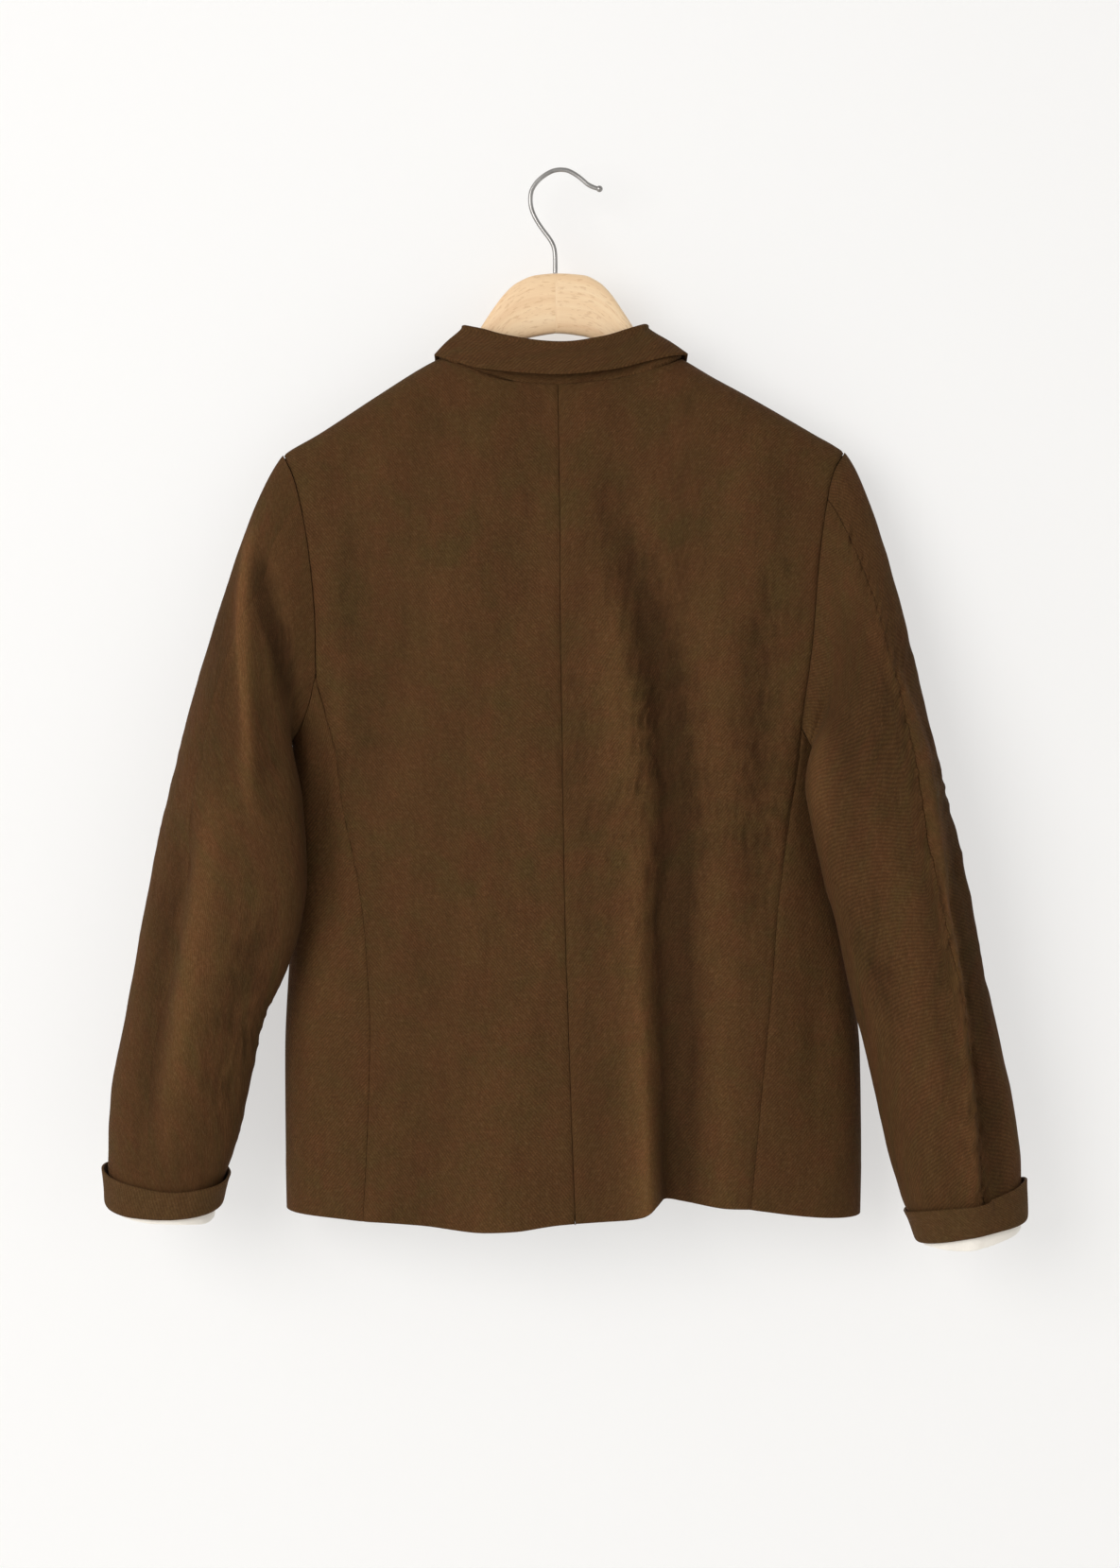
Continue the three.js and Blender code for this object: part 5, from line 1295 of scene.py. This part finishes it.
def twill(name, warm, dark, olive, angle=52.0, period=1.9):
    """A twill weave in the cloth's own plane: diagonal ribs of mixed yarns, with slow changes of colour, and
    the shade and highlight of the folds painted into its colour.
    """
    n = Nodes(name)
    uv = n.cloth_uv()
    wobble = n.noise(uv, 90.0, 5.0, 0.72)
    cut = n.new("ShaderNodeSeparateXYZ")
    n.link(uv, cut.inputs[0])
    u, v = cut.outputs[0], cut.outputs[1]
    a = math.radians(angle)
    rib = 2 * math.pi / (period * MM)
    cross_rib = n.line(v, rib * math.cos(a), n.math("MULTIPLY", u, -rib * math.sin(a)))
    cross_rib = n.line(wobble, 8.0, cross_rib)
    ribs = n.line(n.math("SINE", cross_rib), 0.5, 0.5)
    step = 2 * math.pi / (1.2 * MM)
    yarn = n.math("SINE", n.line(n.noise(uv, 400.0, 2.0), 9.0, n.math("MULTIPLY", v, step)))
    yarn = n.line(yarn, 0.5, 0.5)
    height = n.line(ribs, 0.8, n.math("MULTIPLY", yarn, 0.2))
    fleck = n.noise(uv, 560.0, 4.0, 0.85)
    slub = n.noise(uv, 300.0, 4.0, 0.85)
    streak = n.noise(n.stretch(uv, (1.0, 0.3, 1.0)), 105.0, 5.0, 0.7)
    slow = n.noise(uv, 30.0, 6.0, 0.68)
    patch = n.noise(uv, 8.0, 4.0, 0.6)
    tone = n.mixed(n.line(slow, 4.0, -1.5), warm, olive)
    tone = n.mixed(n.line(patch, 2.6, -1.05), tone, warm)
    low = n.mixed(0.75, tone, dark)
    colour = n.mixed(n.line(ribs, 0.9, 0.05), low, tone)
    colour = n.mixed(n.line(fleck, 3.6, -1.3), low, colour)
    colour = n.mixed(n.line(slub, 1.7, -0.82), colour, n.mixed(0.3, tone, (0.24, 0.15, 0.08)))
    # Painted light: the fold attribute darkens the colour in the hollows of folds and lightens it on their
    # crests; the streak noise adds a random change of tone.
    fold = n.new("ShaderNodeAttribute", attribute_name="fold").outputs["Fac"]
    shade = n.math("MINIMUM", n.math("MAXIMUM", n.line(fold, -0.07, 0.78), 0.4), 1.6)
    shade = n.line(streak, 0.5, shade)
    lit = n.new("ShaderNodeVectorMath", operation="SCALE")
    n.link(colour, lit.inputs[0])
    n.link(shade, lit.inputs["Scale"])
    rough = n.line(fleck, 0.15, 0.76)
    crinkle = n.noise(n.stretch(uv, (1.0, 0.5, 1.0)), 85.0, 7.0, 0.7)
    normal = n.bump(height, 0.6, 0.0003, n.bump(crinkle, 0.75, 0.0028))
    return n.surface(lit.outputs[0], rough, normal, Sheen_Weight=0.05, Sheen_Roughness=0.4,
                     Sheen_Tint=(0.7, 0.45, 0.27, 1), Specular_IOR_Level=0.06)


def satin(name):
    n = Nodes(name)
    uv = n.cloth_uv()
    thread = n.noise(n.stretch(uv, (1.0, 0.05, 1.0)), 2400.0, 2.0, 0.5)
    crease = n.noise(n.stretch(uv, (1.0, 0.4, 1.0)), 75.0, 4.0, 0.6)
    colour = n.mixed(thread, (0.90, 0.855, 0.78), (0.96, 0.93, 0.87))
    colour = n.mixed(n.math("MULTIPLY", crease, 0.35), colour, (0.82, 0.75, 0.65))
    rough = n.line(thread, 0.2, 0.42)
    normal = n.bump(thread, 0.25, 0.0002, n.bump(crease, 0.6, 0.0012))
    return n.surface(colour, rough, normal, Sheen_Weight=0.25, Specular_IOR_Level=0.45)


def beech(name):
    n = Nodes(name)
    grain = n.new("ShaderNodeAttribute", attribute_name="grain").outputs["Vector"]
    fibre = n.noise(n.stretch(grain, (12.0, 260.0, 260.0)), 1.0, 5.0, 0.6, 0.3)
    figure = n.noise(n.stretch(grain, (3.0, 60.0, 48.0)), 1.0, 4.0, 0.55, 1.1)
    rays = n.noise(n.stretch(grain, (170.0, 620.0, 620.0)), 1.0, 2.0, 0.5)
    stops = ((0.3, (0.83, 0.57, 0.345)), (0.5, (0.91, 0.675, 0.425)), (0.72, (0.95, 0.755, 0.51)))
    tone = n.ramp(figure, stops)
    tone = n.mixed(n.line(fibre, 0.9, -0.25), tone, (0.74, 0.46, 0.24))
    flecks = n.ramp(rays, ((0.56, (0, 0, 0)), (0.66, (1, 1, 1))))
    tone = n.mixed(n.math("MULTIPLY", flecks, 0.42), tone, (0.62, 0.37, 0.19))
    rough = n.line(fibre, 0.22, 0.34)
    normal = n.bump(fibre, 0.22, 0.0004, n.bump(rays, 0.12, 0.0002))
    return n.surface(tone, rough, normal, Coat_Weight=0.18, Coat_Roughness=0.28, Specular_IOR_Level=0.4)


def steel(name):
    n = Nodes(name)
    uv = n.cloth_uv()
    brush = n.noise(n.stretch(uv, (900.0, 60.0, 1.0)), 1.0, 4.0, 0.6)
    dull = n.noise(n.stretch(uv, (60.0, 70.0, 1.0)), 1.0, 4.0, 0.6)
    colour = n.ramp(dull, ((0.3, (0.30, 0.29, 0.28)), (0.7, (0.48, 0.47, 0.46))))
    rough = n.line(brush, 0.2, n.line(dull, 0.15, 0.16))
    normal = n.bump(brush, 0.15, 0.0001)
    return n.surface(colour, rough, normal, Metallic=1.0)


def horn(name):
    n = Nodes(name)
    spot = n.spot()
    streak = n.noise(n.stretch(spot, (1.0, 1.0, 0.25)), 420.0, 5.0, 0.6, 1.2)
    cloud = n.noise(spot, 160.0, 3.0)
    stops = ((0.3, (0.018, 0.010, 0.006)), (0.55, (0.055, 0.030, 0.016)), (0.8, (0.16, 0.09, 0.045)))
    colour = n.ramp(streak, stops)
    colour = n.mixed(n.math("MULTIPLY", cloud, 0.4), colour, (0.03, 0.018, 0.011))
    rough = n.line(cloud, 0.2, 0.22)
    normal = n.bump(streak, 0.12, 0.0002)
    return n.surface(colour, rough, normal, Coat_Weight=0.15, Coat_Roughness=0.2)


def plaster(name, colour, rough_scale, glow=0.0):
    """Matt paint; a wall lit evenly by itself in part, and clear when it is seen from behind."""
    n = Nodes(name)
    spot = n.spot()
    slow = n.noise(spot, 1.3, 3.0)
    tone = n.mixed(slow, colour, tuple(c * 0.985 for c in colour))
    normal = n.bump(n.noise(spot, rough_scale, 3.0), 0.05, 0.001)
    if glow:
        n.link(tone, n.shader.inputs["Emission Color"])
        clear = n.new("ShaderNodeBsdfTransparent").outputs[0]
        either = n.new("ShaderNodeMixShader")
        n.link(n.new("ShaderNodeNewGeometry").outputs["Backfacing"], either.inputs[0])
        n.link(n.shader.outputs[0], either.inputs[1])
        n.link(clear, either.inputs[2])
        n.link(either.outputs[0], n.tree.nodes["Material Output"].inputs["Surface"])
    return n.surface(n.mixed(glow, tone, (0.02, 0.02, 0.02)), 0.9, normal, Specular_IOR_Level=0.1,
                     Emission_Strength=glow)


# ---- the jacket ----

TWILL = twill("twill", (0.120, 0.0495, 0.0180), (0.040, 0.019, 0.0075), (0.094, 0.0558, 0.0168))
REVERSE_TWILL = twill("twill_reverse", (0.118, 0.056, 0.021), (0.045, 0.022, 0.009), (0.100, 0.060, 0.020))
LINING_SATIN = satin("lining_satin")
BEECH_WOOD = beech("beech_wood")
HOOK_STEEL = steel("hook_steel")
HORN = horn("horn")
BUTTON_THREAD = twill("button_thread", (0.07, 0.04, 0.02), (0.03, 0.02, 0.01), (0.06, 0.04, 0.02), 20.0, 0.5)


def settle(piece, material, node=None):
    """Gives a piece its material and its body, and hides the solid that it stands for."""
    piece.data.materials.append(material)
    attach(piece, "root")
    if node:
        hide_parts(node)


pieces = {}
for n, side in enumerate(SIDES):
    for face, seed in (("back", 40), ("front", 50)):
        pieces[f"{face}_{side}"] = body_panel(f"cloth_{face}_{side}", side, face, seed + n)
    pieces[f"side_{side}"] = side_body(f"cloth_side_{side}", side, 60 + n)
    for k, part in enumerate(("top", "under")):
        name = f"sleeve_{side}_{part}"
        pieces[name] = sleeve_panel("cloth_" + name, side, part, 70 + 2 * n + k)
    pieces[f"cuff_{side}"] = cuff(f"cloth_cuff_{side}", side, 80 + n)
    pieces[f"lining_{side}"] = lining(f"cloth_lining_{side}", side, 90 + n)
pieces["collar"] = collar("cloth_collar")

for node, piece in pieces.items():
    kind = node.split("_")[0]
    cloth = {"cuff": REVERSE_TWILL, "lining": LINING_SATIN}.get(kind, TWILL)
    settle(piece, cloth, node)

settle(hanger("wood_hanger"), BEECH_WOOD, "hanger")
settle(hook("wire_hook"), HOOK_STEEL, "hook")
for i, level in enumerate(BUTTON_LEVELS):
    disc, bars = button(f"horn_button_{i + 1}", level)
    settle(disc, HORN, f"button_{i + 1}")
    for bar in bars:
        settle(bar, BUTTON_THREAD)


# ---- floor, wall, light and camera ----

def plane(name, corners, material, cuts=24):
    u, v = np.meshgrid(steps(cuts), steps(cuts))
    a, b, c, d = (np.array(p, float) for p in corners)
    u, v = u[..., None], v[..., None]
    points = (a * (1 - u) + b * u) * (1 - v) + (d * (1 - u) + c * u) * v
    index = np.arange(cuts * cuts).reshape(cuts, cuts)
    faces, _ = quads(index, u[..., 0], v[..., 0])
    mesh = bpy.data.meshes.new(name)
    mesh.from_pydata((points.reshape(-1, 3) * MM).tolist(), [], faces.tolist())
    obj = bpy.data.objects.new(name, mesh)
    bpy.context.scene.collection.objects.link(obj)
    obj.data.materials.append(material)
    return obj


WALL_Y = 45
FLOOR_Z = -1330
wall_paint = plaster("wall_paint", (0.95, 0.945, 0.935), 60.0, 0.58)
floor_paint = plaster("floor_paint", (0.80, 0.79, 0.775), 40.0)
spread = ((-2600, FLOOR_Z), (2600, FLOOR_Z), (2600, 1500), (-2600, 1500))
wall = plane("wall", [(x, WALL_Y, z) for x, z in spread], wall_paint)
wall.visible_shadow = False
spread = ((-3400, -3400), (3400, -3400), (3400, 3400), (-3400, 3400))
plane("floor", [(x, y, FLOOR_Z) for x, y in spread], floor_paint)

world = bpy.data.worlds.new("studio")
world.use_nodes = True
world.node_tree.nodes["Background"].inputs["Color"].default_value = (1.0, 0.985, 0.96, 1)
world.node_tree.nodes["Background"].inputs["Strength"].default_value = 0.47
bpy.context.scene.world = world


def area_light(name, place, aim, size, power, colour=(1, 1, 1)):
    data = bpy.data.lights.new(name, "AREA")
    data.shape, data.size, data.energy, data.color = "DISK", size, power, colour
    obj = bpy.data.objects.new(name, data)
    obj.location = place
    way = [a - b for a, b in zip(aim, place)]
    obj.rotation_mode = "QUATERNION"
    obj.rotation_quaternion = Vector(way).to_track_quat("-Z", "Y")
    bpy.context.scene.collection.objects.link(obj)
    return obj


area_light("key", (-1.9, -2.9, 0.2), (0, 0, -0.45), 2.4, 69, (1.0, 0.985, 0.97))
area_light("fill", (1.9, -2.4, -0.2), (0, 0, -0.5), 2.2, 5, (0.98, 0.99, 1.0))
area_light("front", (0.6, 2.8, 0.6), (0, 0, -0.45), 1.9, 40, (1.0, 0.99, 0.97))

CAMERA = (-1.5, -2500, -478)
HALF_VIEW, BACK_DISTANCE = 601.39, 2455  # half of the photo's width, taken at the jacket's back
data = bpy.data.cameras.new("camera")
data.lens = data.sensor_width / 2 / (HALF_VIEW / BACK_DISTANCE)
camera = bpy.data.objects.new("camera", data)
camera.location = [c * MM for c in CAMERA]
camera.rotation_euler = (math.pi / 2, 0, 0)
data.clip_start, data.clip_end = 0.05, 30
bpy.context.scene.collection.objects.link(camera)
bpy.context.scene.camera = camera
bpy.context.scene.view_settings.view_transform = "Standard"

bpy.context.view_layer.update()
